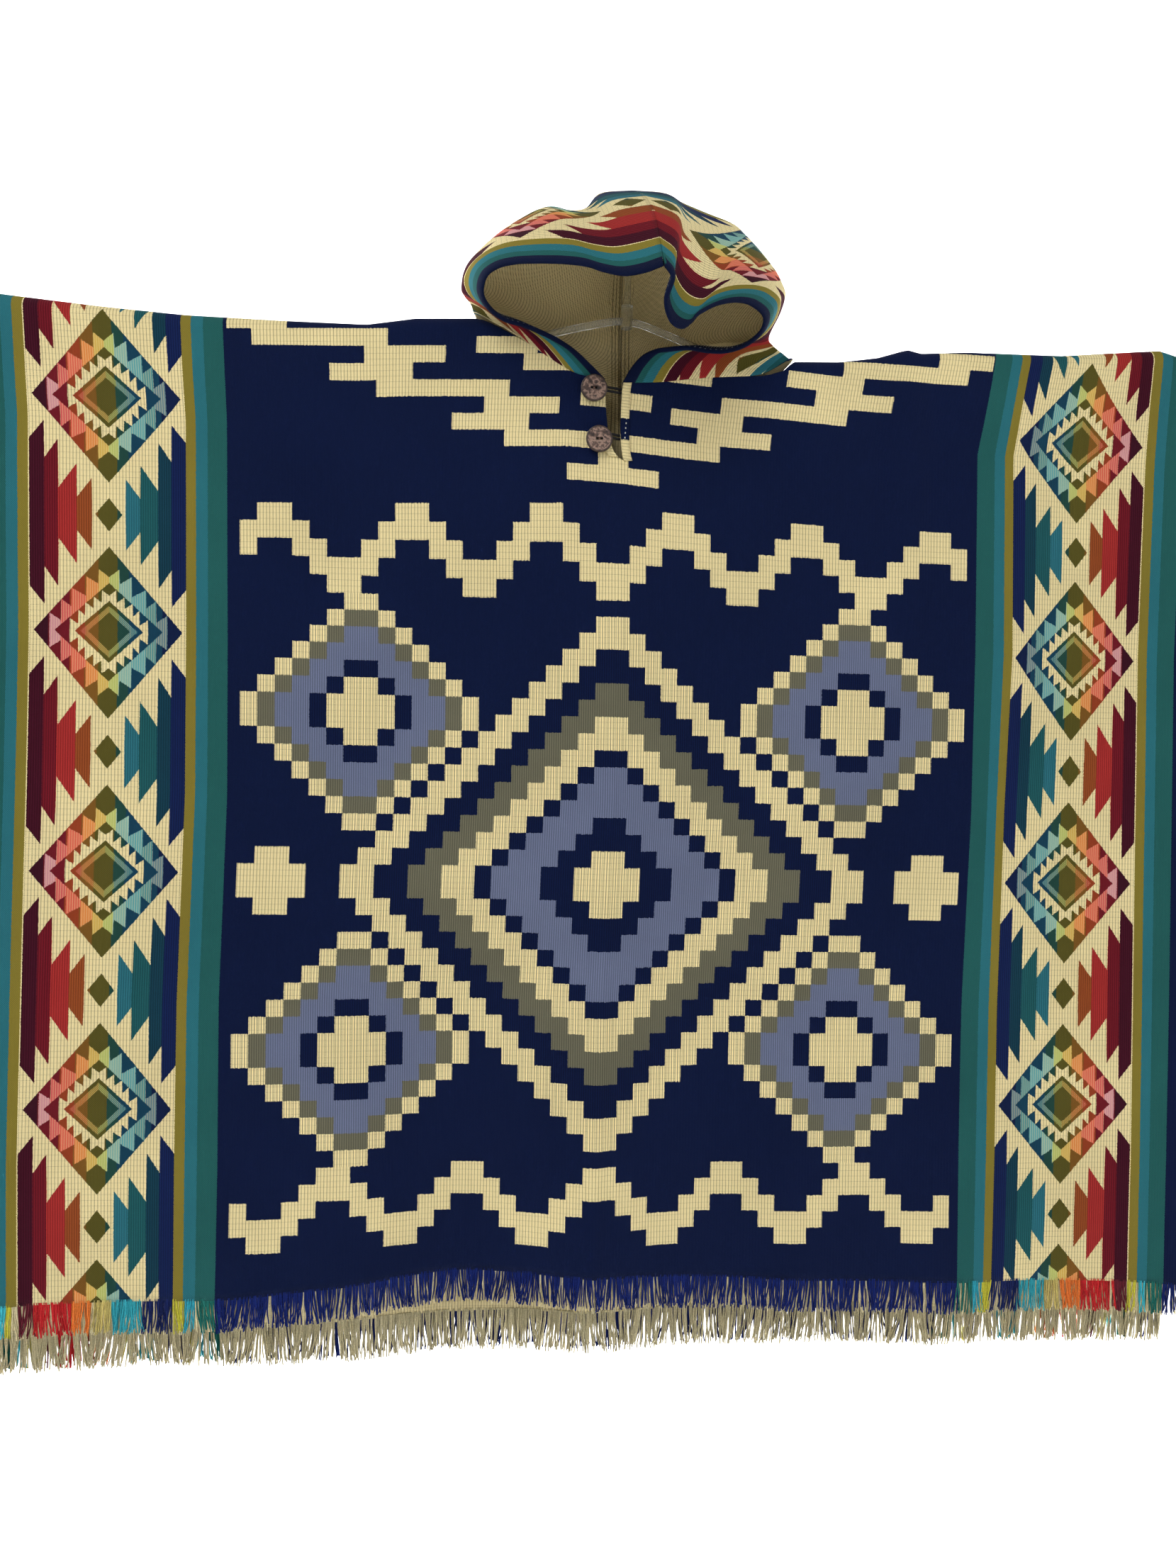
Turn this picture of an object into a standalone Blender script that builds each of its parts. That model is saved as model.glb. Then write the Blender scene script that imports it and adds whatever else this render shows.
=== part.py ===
# Hooded poncho hung on a clear hanger.
# The cloth is a rectangle folded over the shoulders, with a neck hole, a short front slit,
# a two-piece hood, two buttons with elastic loops, and a fringe along both hems.
#
# The tables are in millimetres, in the garment's own frame: x runs across from the centre
# line between the two side bands, y is depth with the front cloth at 0 and the back cloth
# behind it, and z is height. At the end every point is moved so that the row's origin is
# the seat of the hanger's hook.

import math
import random

import bmesh
import bpy
import numpy as np

MM = 0.001

# Driving sizes
CLOTH = 2.0            # thickness of the woven cloth
SEAM = 0.3             # space left between sewn pieces
NECK_SEAM = 1.4        # the same round the neck, where the cloth bends along the seam
FOLD_RADIUS = 12.0     # round of the shoulder fold, to the middle of the cloth
RIDGE_CLEARANCE = 0.55 # from the ridge's plane to the edge of each layer
BACK_SPREAD = 26.0     # how much further the back hangs from the front at its hem
HOOK_SEAT = np.array([14.0, 12.0, 529.5])
BACK_CENTRE_X = 11.0   # where the hood's centre seam comes down behind the neck

# Shoulder fold seen from the front. The stretch between the neck corners is open.
# Columns: x, z
FOLD_LINE = [
    (-600, 412), (-538, 407), (-469, 402), (-393, 398), (-306, 397.5), (-229, 398),
    (-184, 406), (-128, 409), (176, 384), (221, 386), (258, 392), (286, 401),
    (300, 398), (345, 401.5), (441, 403), (510, 410), (541, 413), (600, 397),
]

# Hems, at the root of each fringe. Columns: x, z
FRONT_HEM = [
    (-600, -516), (-524, -511), (-448, -509.5), (-334, -506.5), (-133, -492.5),
    (-65, -492), (-5, -491), (113, -498), (230, -501), (350, -503), (533, -507.5), (600, -513),
]
BACK_HEM = [(-600, -560), (-133, -553.5), (122, -548.5), (600, -552)]

EDGE_COLUMNS = ("z", "left", "right")

# Side edges of both layers: the top corners are drawn outwards
SIDE_LINES = [
    (-560, -594, 598), (-380, -594, 596), (-100, -591, 592), (110, -589, 589),
    (300, -591, 592), (420, -598, 596),
]

# Neck hole, from the left shoulder corner to the right one. Columns: x, z
NECK_CORNERS = {"left": -128.0, "right": 176.0}
FRONT_NECK = [
    (-128, 409), (-110, 401), (-77, 385), (-50, 368), (-33, 360), (-8, 356),
    (11, 352.5), (40, 355), (84, 362), (120, 365), (146, 367), (165, 373), (176, 384),
]
BACK_NECK = [
    (-128, 409), (-100, 376), (-60, 337), (-20, 313), (11, 309), (50, 314),
    (100, 333), (150, 361), (176, 384),
]

# Edges of the front slit, and the centre crease that runs on from its foot
SLIT_LINES = [
    (-510, -5.5, -2.0), (-378, -2.0, 1.5), (-231, 3.5, 6.5), (48, 4.0, 7.0), (242, 5.0, 8.0),
    (280, 9.0, 12.0), (287, 2.5, 9.8), (298, -2.0, 8.9), (309, -3.7, 8.2), (328, -5.8, 8.3),
    (345, -7.0, 8.9), (361, -7.8, 11.4),
]
SLIT_HEAD_Z = 352.0
HEM_WIDTH = 8.0            # of the slit's turned edge and of the hood's rolled hem
SLIT_HEM_THICKNESS = 1.2

# Soft creases: across at the fold and at the hem, half width, and depth at the fold, at
# mid height and at the hem. A negative depth stands out towards the viewer.
# Columns: x_top, x_foot, half_width, y_top, y_middle, y_foot
FRONT_CREASES = [
    (12, -4, 62, -2.0, -6.0, -8.0),
    (12, -4, 15, 0.0, -2.5, -3.0),
    (-150, -133, 125, 0.0, 4.0, 20.0),
    (130, 113, 92, 2.0, 3.0, 9.0),
    (-330, -345, 90, -3.0, -2.0, -5.0),
    (368, 352, 80, -6.0, -4.0, -5.0),
    (286, 300, 30, -5.0, 0.0, 0.0),
    (-235, -250, 60, 4.0, 0.0, 0.0),
    (-470, -465, 110, 2.0, 3.0, 3.0),
    (470, 465, 110, 2.0, 3.0, 3.0),
]
BACK_CREASES = [
    (-60, -40, 110, 0.0, 3.0, 6.0),
    (210, 230, 120, 0.0, -2.0, 7.0),
    (-420, -400, 120, 2.0, 4.0, 6.0),
]
BACK_FOLLOWS_FRONT = 0.7

# Hood, one row for each section from the neck up to the centre seam: the face edge, the
# furthest point of the outline seen from the front, and the place on the centre back seam.
# Columns: brim_x, brim_y, brim_z, ridge_x, ridge_y, ridge_z, back_y, back_z
HOOD_LEFT = [
    (-8, -2, 357, -128, 12, 409, 24, 309),
    (-36, -8, 379, -132, 5, 420, 30, 335),
    (-75, -17, 393, -138, -2, 426, 36, 360),
    (-109, -28, 400, -139, -4, 433, 40, 385),
    (-122, -42, 412, -136, -6, 444, 43, 405),
    (-117, -60, 425, -128, -8, 457, 45, 422),
    (-100, -74, 427, -110, -9, 476, 46, 440),
    (-72, -92, 423, -88, -10, 494, 46, 458),
    (-35, -110, 415, -60, -10, 508, 46, 475),
    (-6, -120, 405, -30, -8, 508, 45, 492),
    (10, -124, 406, -18, 8, 529, 44, 505),
    (20, -125, 410, -3, 12, 537.4, 43, 512),
    (29, -125, 413.5, 14, 12, 537.6, 42, 515),
]
HOOD_RIGHT = [
    (11, -2, 354, 176, 12, 384, 24, 309),
    (28, -6, 379, 167, 8, 388, 30, 332),
    (60, -13, 384, 153, 3, 395, 36, 354),
    (102, -25, 379, 146, 0, 405, 40, 374),
    (126, -34, 388, 150, -3, 420, 42, 392),
    (134, -46, 399, 156, -5, 438, 44, 409),
    (118, -62, 408, 153, -6, 453, 45, 425),
    (90, -80, 402, 143, -8, 469, 46, 442),
    (67, -95, 387, 124, -10, 489, 46, 458),
    (44, -110, 367, 100, -9, 507, 46, 475),
    (31, -121, 377, 70, -3, 518, 45, 492),
    (34, -127, 396, 50, 5, 533, 44, 505),
    (37, -127, 409, 34, 12, 537.8, 43, 512),
    (29, -125, 413.5, 14, 12, 537.6, 42, 515),
]
HOOD_HEM_THICKNESS = 4.5
HOOD_HEM_STEP = 1.2       # where the plain cloth starts, in hem widths from the edge
HOOD_SWELL_FRONT = 0.10   # bulge between brim and outline, as a share of that distance
HOOD_SWELL_BACK = 0.14
HOOD_AXIS_Y = 10.0        # the bulges point away from this depth behind the back centre
HOOD_AWAY_Z = 60.0        # and this much upwards
HOOD_ROWS = 20
HOOD_KNOTS = (0.0, 0.5, 1.0, 1.5, 2.0)   # brim, front bulge, outline, back bulge, back seam
HOOD_NECK_REACH = 0.26    # share of the hood's height that follows the neck's curve
# Columns shared by the hood and the panels round the neck, as shares of the way from the
# hem to the shoulder corner, and from there to the back centre
NECK_FRONT_SHARES = (0.17, 0.36, 0.57, 0.79, 1.0)
NECK_BACK_SHARES = (0.2, 0.42, 0.65, 0.84, 1.0)
SHOULDER_COLUMN = len(NECK_FRONT_SHARES) + 2
SHOULDER_LIFT = np.array([1.5, 0.0, 4.2])   # of the hood's edge over the neck's corner
BESIDE_SHOULDER_LIFT = np.array([0.0, -1.0, 2.0])
SHARPEST = 0.4            # the least half angle and sine that a seam is drawn back for

# Buttons on the left of the slit. Columns: name, x, z, height of the loop
BUTTONS = [("upper", -17.7, 345.5, 346.0), ("lower", -11.8, 298.4, 302.6)]
BUTTON_RADIUS = 12.5
BUTTON_THICKNESS = 3.0
BUTTON_SLOT = (6.4, 2.6, 1.1)     # length, width and depth of the dark slot in its face
BUTTON_HOLE_RADIUS = 0.95
BUTTON_STAND = 3.8                # height of the thread stem under it
STEM_RADIUS = 2.0
LOOP_RADIUS = 1.2
LOOP_TAIL = 9.0                   # length sewn behind the right side of the slit

# Fringe. Columns: strands, strip height, length, its variation, sway, random seed
FRONT_FRINGE = (90, 4.0, 28.0, 3.5, 3.0, 11)
BACK_FRINGE = (90, 4.0, 33.0, 4.0, 3.5, 23)
STRAND_DEPTH = 1.0         # how far a tip stands before or behind its root
STRAND_SHARE = 0.58        # of the pitch that a strand's root takes
TIP_SHARE = 0.55           # of the root's width that is left at the tip

# Hanger
ARM_SPAN = 190.0
ARM_RADIUS = 3.5
ARM_APEX_Z = 416.0
ARM_SLOPE = 0.325
ARM_TILT = 0.055           # it hangs a little lower on the right
ARM_CROWN = 12.0
COLLAR_RADIUS = 5.5
COLLAR_LOW, COLLAR_HIGH = 409.0, 430.0
ROD_RADIUS = 3.0
HOOK_BEND_RADIUS = 19.0
HOOK_BEND = (-48, 196)     # where the bend starts and ends, in degrees from the right
HOOK_NECK_DROP = 38.0      # from the bend's centre to the top of the straight rod
HOOK_NECK_STEPS = ((0.8, 7.0), (3.6, 14.0))   # across and up, from the rod to the bend
HOOK_TIP_STEP = (-2.0, -5.0)


def column(table, names, name):
    return np.array([row[names.index(name)] for row in table], float)


def smooth(stations, values, at):
    """A smooth curve through the table's values, read at any place: cubic pieces whose
    slopes at each station are those between its neighbours."""
    stations = np.asarray(stations, float)
    values = np.asarray(values, float)
    at = np.clip(np.asarray(at, float), stations[0], stations[-1])
    slopes = np.gradient(values, stations, axis=0)
    piece = np.clip(np.searchsorted(stations, at, side="right") - 1, 0, len(stations) - 2)
    span = stations[piece + 1] - stations[piece]
    t = (at - stations[piece]) / span
    if values.ndim > 1:
        t, span = t[..., None], span[..., None]
    h00 = 2 * t**3 - 3 * t**2 + 1
    h10 = t**3 - 2 * t**2 + t
    h01 = 3 * t**2 - 2 * t**3
    h11 = t**3 - t**2
    return (h00 * values[piece] + h10 * span * slopes[piece]
            + h01 * values[piece + 1] + h11 * span * slopes[piece + 1])


def line(table, x):
    """Height of a fold, hem or neck line at x."""
    return np.interp(x, [row[0] for row in table], [row[1] for row in table])


def edge_lines(table, z):
    """Left and right edge at the heights z."""
    heights = column(table, EDGE_COLUMNS, "z")
    return (np.interp(z, heights, column(table, EDGE_COLUMNS, "left")),
            np.interp(z, heights, column(table, EDGE_COLUMNS, "right")))


def relief(creases, x, z):
    """Depth that the soft creases add at (x, z): each is a raised cosine across its line."""
    top, foot = line(FOLD_LINE, x), line(FRONT_HEM, x)
    fall = np.clip((top - z) / (top - foot), 0, 1)
    depth = np.zeros_like(fall)
    for x_top, x_foot, half_width, y_top, y_middle, y_foot in creases:
        middle = x_top + (x_foot - x_top) * fall
        reach = np.clip(np.abs(x - middle) / half_width, 0, 1)
        height = smooth((0, 0.5, 1), (y_top, y_middle, y_foot), fall)
        depth += height * 0.5 * (1 + np.cos(math.pi * reach))
    return depth


def from_ridge(x, z):
    """Distance of a layer from the plane of the shoulder fold: a quarter circle, then the
    fold's radius. The layers part a little at the ridge, so that their walls' edges clear."""
    below = np.clip(line(FOLD_LINE, x) - z, 0, FOLD_RADIUS)
    return np.maximum(np.sqrt(FOLD_RADIUS**2 - (FOLD_RADIUS - below) ** 2), RIDGE_CLEARANCE)


def relief_share(x, z):
    """The creases fade out on the fold itself."""
    below = line(FOLD_LINE, x) - z
    return np.clip((below - FOLD_RADIUS) / 40, 0, 1)


def front_depth(x, z):
    return (FOLD_RADIUS - from_ridge(x, z)
            + relief(FRONT_CREASES, x, z) * relief_share(x, z))


def back_depth(x, z):
    top, foot = line(FOLD_LINE, x), line(BACK_HEM, x)
    fall = np.clip((top - z) / (top - foot), 0, 1)
    spread = BACK_SPREAD * fall
    creases = (BACK_FOLLOWS_FRONT * relief(FRONT_CREASES, x, z)
               + relief(BACK_CREASES, x, z)) * relief_share(x, z)
    return FOLD_RADIUS + from_ridge(x, z) + spread + creases


def to_row(points):
    return (np.asarray(points, float) - HOOK_SEAT) * MM


def material(name, colour, roughness, metallic=0.0, alpha=1.0):
    mat = bpy.data.materials.new(name)
    mat.use_nodes = True
    shader = mat.node_tree.nodes["Principled BSDF"]
    shader.inputs["Base Color"].default_value = (*colour, 1)
    shader.inputs["Roughness"].default_value = roughness
    shader.inputs["Metallic"].default_value = metallic
    shader.inputs["Alpha"].default_value = alpha
    return mat


def add_object(name, mesh, collection, mat):
    obj = bpy.data.objects.new(name, mesh)
    collection.objects.link(obj)
    if mat:
        mesh.materials.append(mat)
    return obj


def surface_object(name, points, keep, collection, mat):
    """An open sheet from a grid of points, rows by columns. keep says which cells stay."""
    rows, columns = points.shape[:2]
    bm = bmesh.new()
    verts = [bm.verts.new(co) for co in to_row(points).reshape(-1, 3)]
    for r in range(rows - 1):
        for c in range(columns - 1):
            if keep is None or keep[r, c]:
                corner = r * columns + c
                bm.faces.new((verts[corner], verts[corner + columns],
                              verts[corner + columns + 1], verts[corner + 1]))
    bmesh.ops.delete(bm, geom=[v for v in bm.verts if not v.link_faces], context="VERTS")
    mesh = bpy.data.meshes.new(name)
    bm.to_mesh(mesh)
    bm.free()
    return add_object(name, mesh, collection, mat)


def thicken(obj, thickness, group=None):
    wall = obj.modifiers.new("Wall", "SOLIDIFY")
    wall.thickness = thickness * MM
    wall.offset = 0
    wall.use_even_offset = False
    if group:
        wall.vertex_group = group


# Panels


def stations(*stretches):
    """Places across the cloth: each stretch is (from, to, number of steps)."""
    places = [stretches[0][0]]
    for start, end, steps in stretches:
        places.extend(np.linspace(start, end, steps + 1)[1:])
    return np.array(places)


SIDE_STATION = 596.0
TOP_STEPS = (0.0, 2.0, 5.0, 9.0, 14.0)
SLIT_SHARES = (0.022, 0.044, 0.058, 0.0708)
FRONT_SHARES = SLIT_SHARES + (0.13, 0.2, 0.28, 0.36, 0.44, 0.52, 0.6, 0.68, 0.76, 0.84, 0.92, 1.0)
BACK_SHARES = (0.03, 0.08, 0.15, 0.24, 0.34, 0.45, 0.56, 0.67, 0.78, 0.89, 1.0)


def heights_down(top, foot, shares):
    """Row heights of each column: fixed steps over the fold, then shares of the rest."""
    below = top - TOP_STEPS[-1]
    rows = [top - step for step in TOP_STEPS] + [below - (below - foot) * s for s in shares]
    return np.array(rows)


def neck_columns(side):
    """Places across the neck: from the slit to the shoulder corner, then to the back."""
    corner = NECK_CORNERS[side]
    slit_left, slit_right = edge_lines(SLIT_LINES, SLIT_HEAD_Z)
    slit, hem = ((slit_left, slit_left - HEM_WIDTH) if side == "left"
                 else (slit_right, slit_right + HEM_WIDTH))
    front = [slit, hem] + [hem + (corner - hem) * share for share in NECK_FRONT_SHARES]
    back = [corner + (BACK_CENTRE_X - corner) * share for share in NECK_BACK_SHARES]
    return front, back


def front_grid():
    """Grid of the front: rows down, columns across, with a narrow column for the slit."""
    left_neck, right_neck = neck_columns("left")[0], neck_columns("right")[0]
    left = list(stations((-SIDE_STATION, NECK_CORNERS["left"], 11))) + left_neck[-2::-1]
    right = right_neck[:-1] + list(stations((NECK_CORNERS["right"], SIDE_STATION, 10)))
    columns = []
    for x_top, is_left in [(x, True) for x in left] + [(x, False) for x in right]:
        inside = NECK_CORNERS["left"] < x_top < NECK_CORNERS["right"]
        top = line(FRONT_NECK if inside else FOLD_LINE, x_top)
        z = heights_down(top, line(FRONT_HEM, x_top), FRONT_SHARES)
        side_l, side_r = edge_lines(SIDE_LINES, z)
        cut_l, cut_r = edge_lines(SLIT_LINES, z)
        edge = side_l if is_left else side_r
        cut = cut_l if is_left else cut_r
        share = (x_top - cut[0]) / (edge[0] - cut[0])
        x = cut + share * (edge - cut)
        if x_top == left_neck[1]:
            x = cut_l - HEM_WIDTH
        if x_top == right_neck[1]:
            x = cut_r + HEM_WIDTH
        columns.append(np.stack([x, front_depth(x, z), z], axis=1))
    return np.stack(columns, axis=1), len(left) - 1


def back_grid():
    left_neck, right_neck = neck_columns("left")[1], neck_columns("right")[1]
    left = list(stations((-SIDE_STATION, NECK_CORNERS["left"], 8)))
    right = list(stations((NECK_CORNERS["right"], SIDE_STATION, 8)))
    across = left + left_neck + right_neck[-2::-1] + right
    corners = {"left": len(left) - 1, "right": len(across) - len(right)}
    columns = []
    for x_top in across:
        inside = NECK_CORNERS["left"] < x_top < NECK_CORNERS["right"]
        top = line(BACK_NECK if inside else FOLD_LINE, x_top)
        z = heights_down(top, line(BACK_HEM, x_top), BACK_SHARES)
        side_l, side_r = edge_lines(SIDE_LINES, z)
        share = (x_top - side_l[0]) / (side_r[0] - side_l[0])
        x = side_l + share * (side_r - side_l)
        columns.append(np.stack([x, back_depth(x, z), z], axis=1))
    return np.stack(columns, axis=1), corners


def build_panels(collection, mats):
    front, slit = front_grid()
    slit_row = len(TOP_STEPS) + len(SLIT_SHARES) - 1
    keep = np.ones((front.shape[0] - 1, front.shape[1] - 1), bool)
    keep[:slit_row, slit] = False
    thicken(surface_object("front_panel", front, keep, collection, mats["navy"]), CLOTH)
    back, corners = back_grid()
    thicken(surface_object("back_panel", back, None, collection, mats["navy"]), CLOTH)
    # The turned edges of the slit lie on the front, made from its own points
    out = np.array([0.0, -(CLOTH / 2 + SEAM + SLIT_HEM_THICKNESS / 2), 0.0])
    right_hem = front[: slit_row + 1, slit + 1 : slit + 3] + out
    left_hem = front[slit_row - 1 : slit_row + 1, slit - 1 : slit + 1] + out
    for name, strip in (("slit_hem_right", right_hem), ("slit_hem_left", left_hem)):
        thicken(surface_object(name, strip, None, collection, mats["cream"]), SLIT_HEM_THICKNESS)
    necks = {side: neck_edge(side, front, slit, back, corners[side]) for side in corners}
    return front[-1], back[-1], necks


# Hood


def neck_edge(side, front, slit, back, corner):
    """The panels' neck edge, from the slit over the shoulder corner to the back centre, and
    the direction into the panel at each of its points."""
    count_front, count_back = len(NECK_FRONT_SHARES) + 2, len(NECK_BACK_SHARES)
    if side == "left":
        front_part = front[:2, slit - count_front + 1 : slit + 1][:, ::-1]
        back_part = back[:2, corner : corner + count_back + 1]
    else:
        front_part = front[:2, slit + 1 : slit + 1 + count_front]
        back_part = back[:2, corner - count_back : corner + 1][:, ::-1]
    shoulder = (front_part[:, -1:] + back_part[:, :1]) / 2
    step = (HOOD_HEM_STEP - 1) * HEM_WIDTH / np.linalg.norm(front_part[0, 2] - front_part[0, 1])
    beside_hem = front_part[:, 1:2] + (front_part[:, 2:3] - front_part[:, 1:2]) * step
    edge = np.concatenate([front_part[:, :2], beside_hem, front_part[:, 2:-1], shoulder,
                           back_part[:, 1:]], axis=1)
    return edge[0], edge[1] - edge[0]


def hood_sections(table, rise):
    """The table's columns read at each row's share of the way from the neck to the seam."""
    rows = np.array(table, float)
    steps = np.linalg.norm(np.diff(rows[:, :3], axis=0), axis=1)
    shares = np.concatenate([[0], np.cumsum(steps)]) / steps.sum()
    return smooth(shares, rows, rise)


def hood_grid(table, neck):
    rise = np.linspace(0, 1, HOOD_ROWS)
    sections = hood_sections(table, rise)
    brim, ridge = sections[:, 0:3], sections[:, 3:6]
    back = np.stack([np.full(HOOD_ROWS, BACK_CENTRE_X), sections[:, 6], sections[:, 7]], axis=1)
    axis_point = np.array([BACK_CENTRE_X, HOOD_AXIS_Y, 0.0])

    def mid(a, b, swell):
        middle = (a + b) / 2
        away = middle - axis_point
        away[:, 2] = HOOD_AWAY_Z
        return middle + unit(away) * (swell * np.linalg.norm(b - a, axis=1))[:, None]

    knots = np.stack([brim, mid(brim, ridge, HOOD_SWELL_FRONT), ridge,
                      mid(ridge, back, HOOD_SWELL_BACK), back])
    front_length = np.linalg.norm(ridge - brim, axis=1)
    rows = []
    for r in range(HOOD_ROWS):
        hem = HEM_WIDTH / max(front_length[r], 4 * HEM_WIDTH)
        share = np.array([0.0, hem, hem * HOOD_HEM_STEP]
                         + [hem + (1 - hem) * s for s in NECK_FRONT_SHARES]
                         + [1 + s for s in NECK_BACK_SHARES])
        place = smooth(HOOD_KNOTS, knots[:, r], share)
        blend = np.clip(1 - rise[r] / HOOD_NECK_REACH, 0, 1) ** 2
        rows.append(place + blend * (neck - smooth(HOOD_KNOTS, knots[:, 0], share)))
    return np.stack(rows)


def thickness_along(columns):
    """Thickness of each column: the rolled hem is doubled."""
    return np.array([HOOD_HEM_THICKNESS] * 2 + [CLOTH] * (columns - 2))


def unit(v):
    return v / np.maximum(np.linalg.norm(v, axis=-1, keepdims=True), 1e-9)


def across_edge(edge, inward, other_inward):
    """The two cloths' directions away from a shared edge, square to it, and their angle."""
    along = unit(np.gradient(edge, axis=0))
    inward = unit(inward - (inward * along).sum(1)[:, None] * along)
    other_inward = unit(other_inward - (other_inward * along).sum(1)[:, None] * along)
    return inward, np.arccos(np.clip((inward * other_inward).sum(1), -1, 1))


def mitre(edge, inward, other_inward, thickness, space):
    """Draws an edge back so that its wall stays half the space short of the plane midway
    between the two cloths."""
    inward, angle = across_edge(edge, inward, other_inward)
    half = np.maximum(angle / 2, SHARPEST)
    return edge + inward * ((space / 2 + thickness / 2 * np.cos(half)) / np.sin(half))[:, None]


def butt(edge, inward, other_inward, thickness, other_thickness, space):
    """Draws an edge back so that its wall's near corner lies the space away from the face
    of the other wall, which reaches the edge."""
    inward, angle = across_edge(edge, inward, other_inward)
    sine = np.maximum(np.sin(angle), SHARPEST)
    back = (other_thickness / 2 + space + np.cos(angle) * thickness / 2) / sine
    return edge + inward * np.maximum(back, space)[:, None]


def build_hood(necks, collection, mats):
    whole = {"left": hood_grid(HOOD_LEFT, necks["left"][0]),
             "right": hood_grid(HOOD_RIGHT, necks["right"][0])}
    thick = thickness_along(whole["left"].shape[1])
    for side, other_side in (("left", "right"), ("right", "left")):
        own, other, grid = whole[side], whole[other_side], whole[side].copy()
        neck, into_panel = necks[side]
        crown, other_crown = own[-2].copy(), other[-2].copy()
        crown[-1], other_crown[-1] = own[-2, -2], other[-2, -2]
        seam = own[:, -1]
        grid[:, -1] = mitre(seam, own[:, -2] - seam, other[:, -2] - seam, CLOTH, SEAM)
        grid[-1] = mitre(own[-1], crown - own[-1], other_crown - own[-1], thick, SEAM)
        back_centre_x = grid[0, -1, 0]
        grid[0] = butt(grid[0], own[1] - own[0], into_panel, thick, CLOTH, NECK_SEAM)
        grid[0, -1, 0] = back_centre_x
        toward_centre = math.copysign(1.0, BACK_CENTRE_X - neck[SHOULDER_COLUMN, 0])
        grid[0, SHOULDER_COLUMN] = neck[SHOULDER_COLUMN] + SHOULDER_LIFT * (toward_centre, 0, 1)
        grid[0, SHOULDER_COLUMN - 1] += BESIDE_SHOULDER_LIFT
        obj = surface_object("hood_" + side, grid, None, collection, mats["band"])
        group = obj.vertex_groups.new(name="wall")
        for index in range(len(obj.data.vertices)):
            group.add([index], thick[index % len(thick)] / HOOD_HEM_THICKNESS, "REPLACE")
        thicken(obj, HOOD_HEM_THICKNESS, "wall")


# Buttons and loops


def cylinder(bm, radius, depth, centre, segments):
    """A cylinder along y, centred at the given place, in row coordinates."""
    made = bmesh.ops.create_cone(bm, cap_ends=True, cap_tris=False, segments=segments,
                                 radius1=radius * MM, radius2=radius * MM, depth=depth * MM)
    place = to_row(centre)
    for v in made["verts"]:
        x, y, z = v.co
        v.co = (x + place[0], -z + place[1], y + place[2])
    return made


def cutter(name, bm, collection):
    mesh = bpy.data.meshes.new(name)
    bmesh.ops.recalc_face_normals(bm, faces=bm.faces)
    bm.to_mesh(mesh)
    bm.free()
    obj = add_object(name, mesh, collection, None)
    obj.hide_render = True
    obj.display_type = "WIRE"
    return obj


def build_button(name, x, z, collection, cutters, mats):
    face = float(front_depth(np.array([x]), np.array([z]))[0]) - CLOTH / 2
    back = face - SEAM - BUTTON_STAND
    bm = bmesh.new()
    cylinder(bm, BUTTON_RADIUS, BUTTON_THICKNESS, (x, back - BUTTON_THICKNESS / 2, z), 32)
    bmesh.ops.recalc_face_normals(bm, faces=bm.faces)
    mesh = bpy.data.meshes.new("button_" + name)
    bm.to_mesh(mesh)
    bm.free()
    button = add_object("button_" + name, mesh, collection, mats["shell"])
    round_edge = button.modifiers.new("Edge", "BEVEL")
    round_edge.width = 0.9 * MM
    round_edge.segments = 2
    round_edge.limit_method = "ANGLE"
    # The slot in the face, and two thread holes through its floor
    length, width, depth = BUTTON_SLOT
    front = back - BUTTON_THICKNESS
    slot = bmesh.new()
    cylinder(slot, width / 2, depth * 2, (x, front, z), 16)
    for v in slot.verts:
        v.co.x += (length - width) / 2 * MM * (1 if v.co.x > to_row((x, 0, 0))[0] else -1)
    holes = bmesh.new()
    for step in (-1, 1):
        cylinder(holes, BUTTON_HOLE_RADIUS, BUTTON_THICKNESS * 2,
                 (x + step * (length - width) / 2, back - BUTTON_THICKNESS / 2, z), 12)
    for label, shape in (("slot", slot), ("holes", holes)):
        cut = button.modifiers.new(label.capitalize(), "BOOLEAN")
        cut.operation = "DIFFERENCE"
        cut.object = cutter("%s_%s" % (label, name), shape, cutters)
    stem = bmesh.new()
    cylinder(stem, STEM_RADIUS, BUTTON_STAND - SEAM, (x, face - SEAM - (BUTTON_STAND - SEAM) / 2, z), 12)
    bmesh.ops.recalc_face_normals(stem, faces=stem.faces)
    mesh = bpy.data.meshes.new("button_thread_" + name)
    stem.to_mesh(mesh)
    stem.free()
    add_object("button_thread_" + name, mesh, collection, mats["elastic"])


def tube(name, points, radius, resolution, collection, mat):
    """A round bar along a list of points in garment coordinates."""
    curve = bpy.data.curves.new(name, "CURVE")
    curve.dimensions = "3D"
    curve.bevel_depth = radius * MM
    curve.bevel_resolution = resolution
    curve.use_fill_caps = True
    spline = curve.splines.new("POLY")
    spline.points.add(len(points) - 1)
    for point, co in zip(spline.points, to_row(points)):
        point.co = (*co, 1)
    obj = bpy.data.objects.new(name, curve)
    collection.objects.link(obj)
    if mat:
        curve.materials.append(mat)
    return obj


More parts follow.
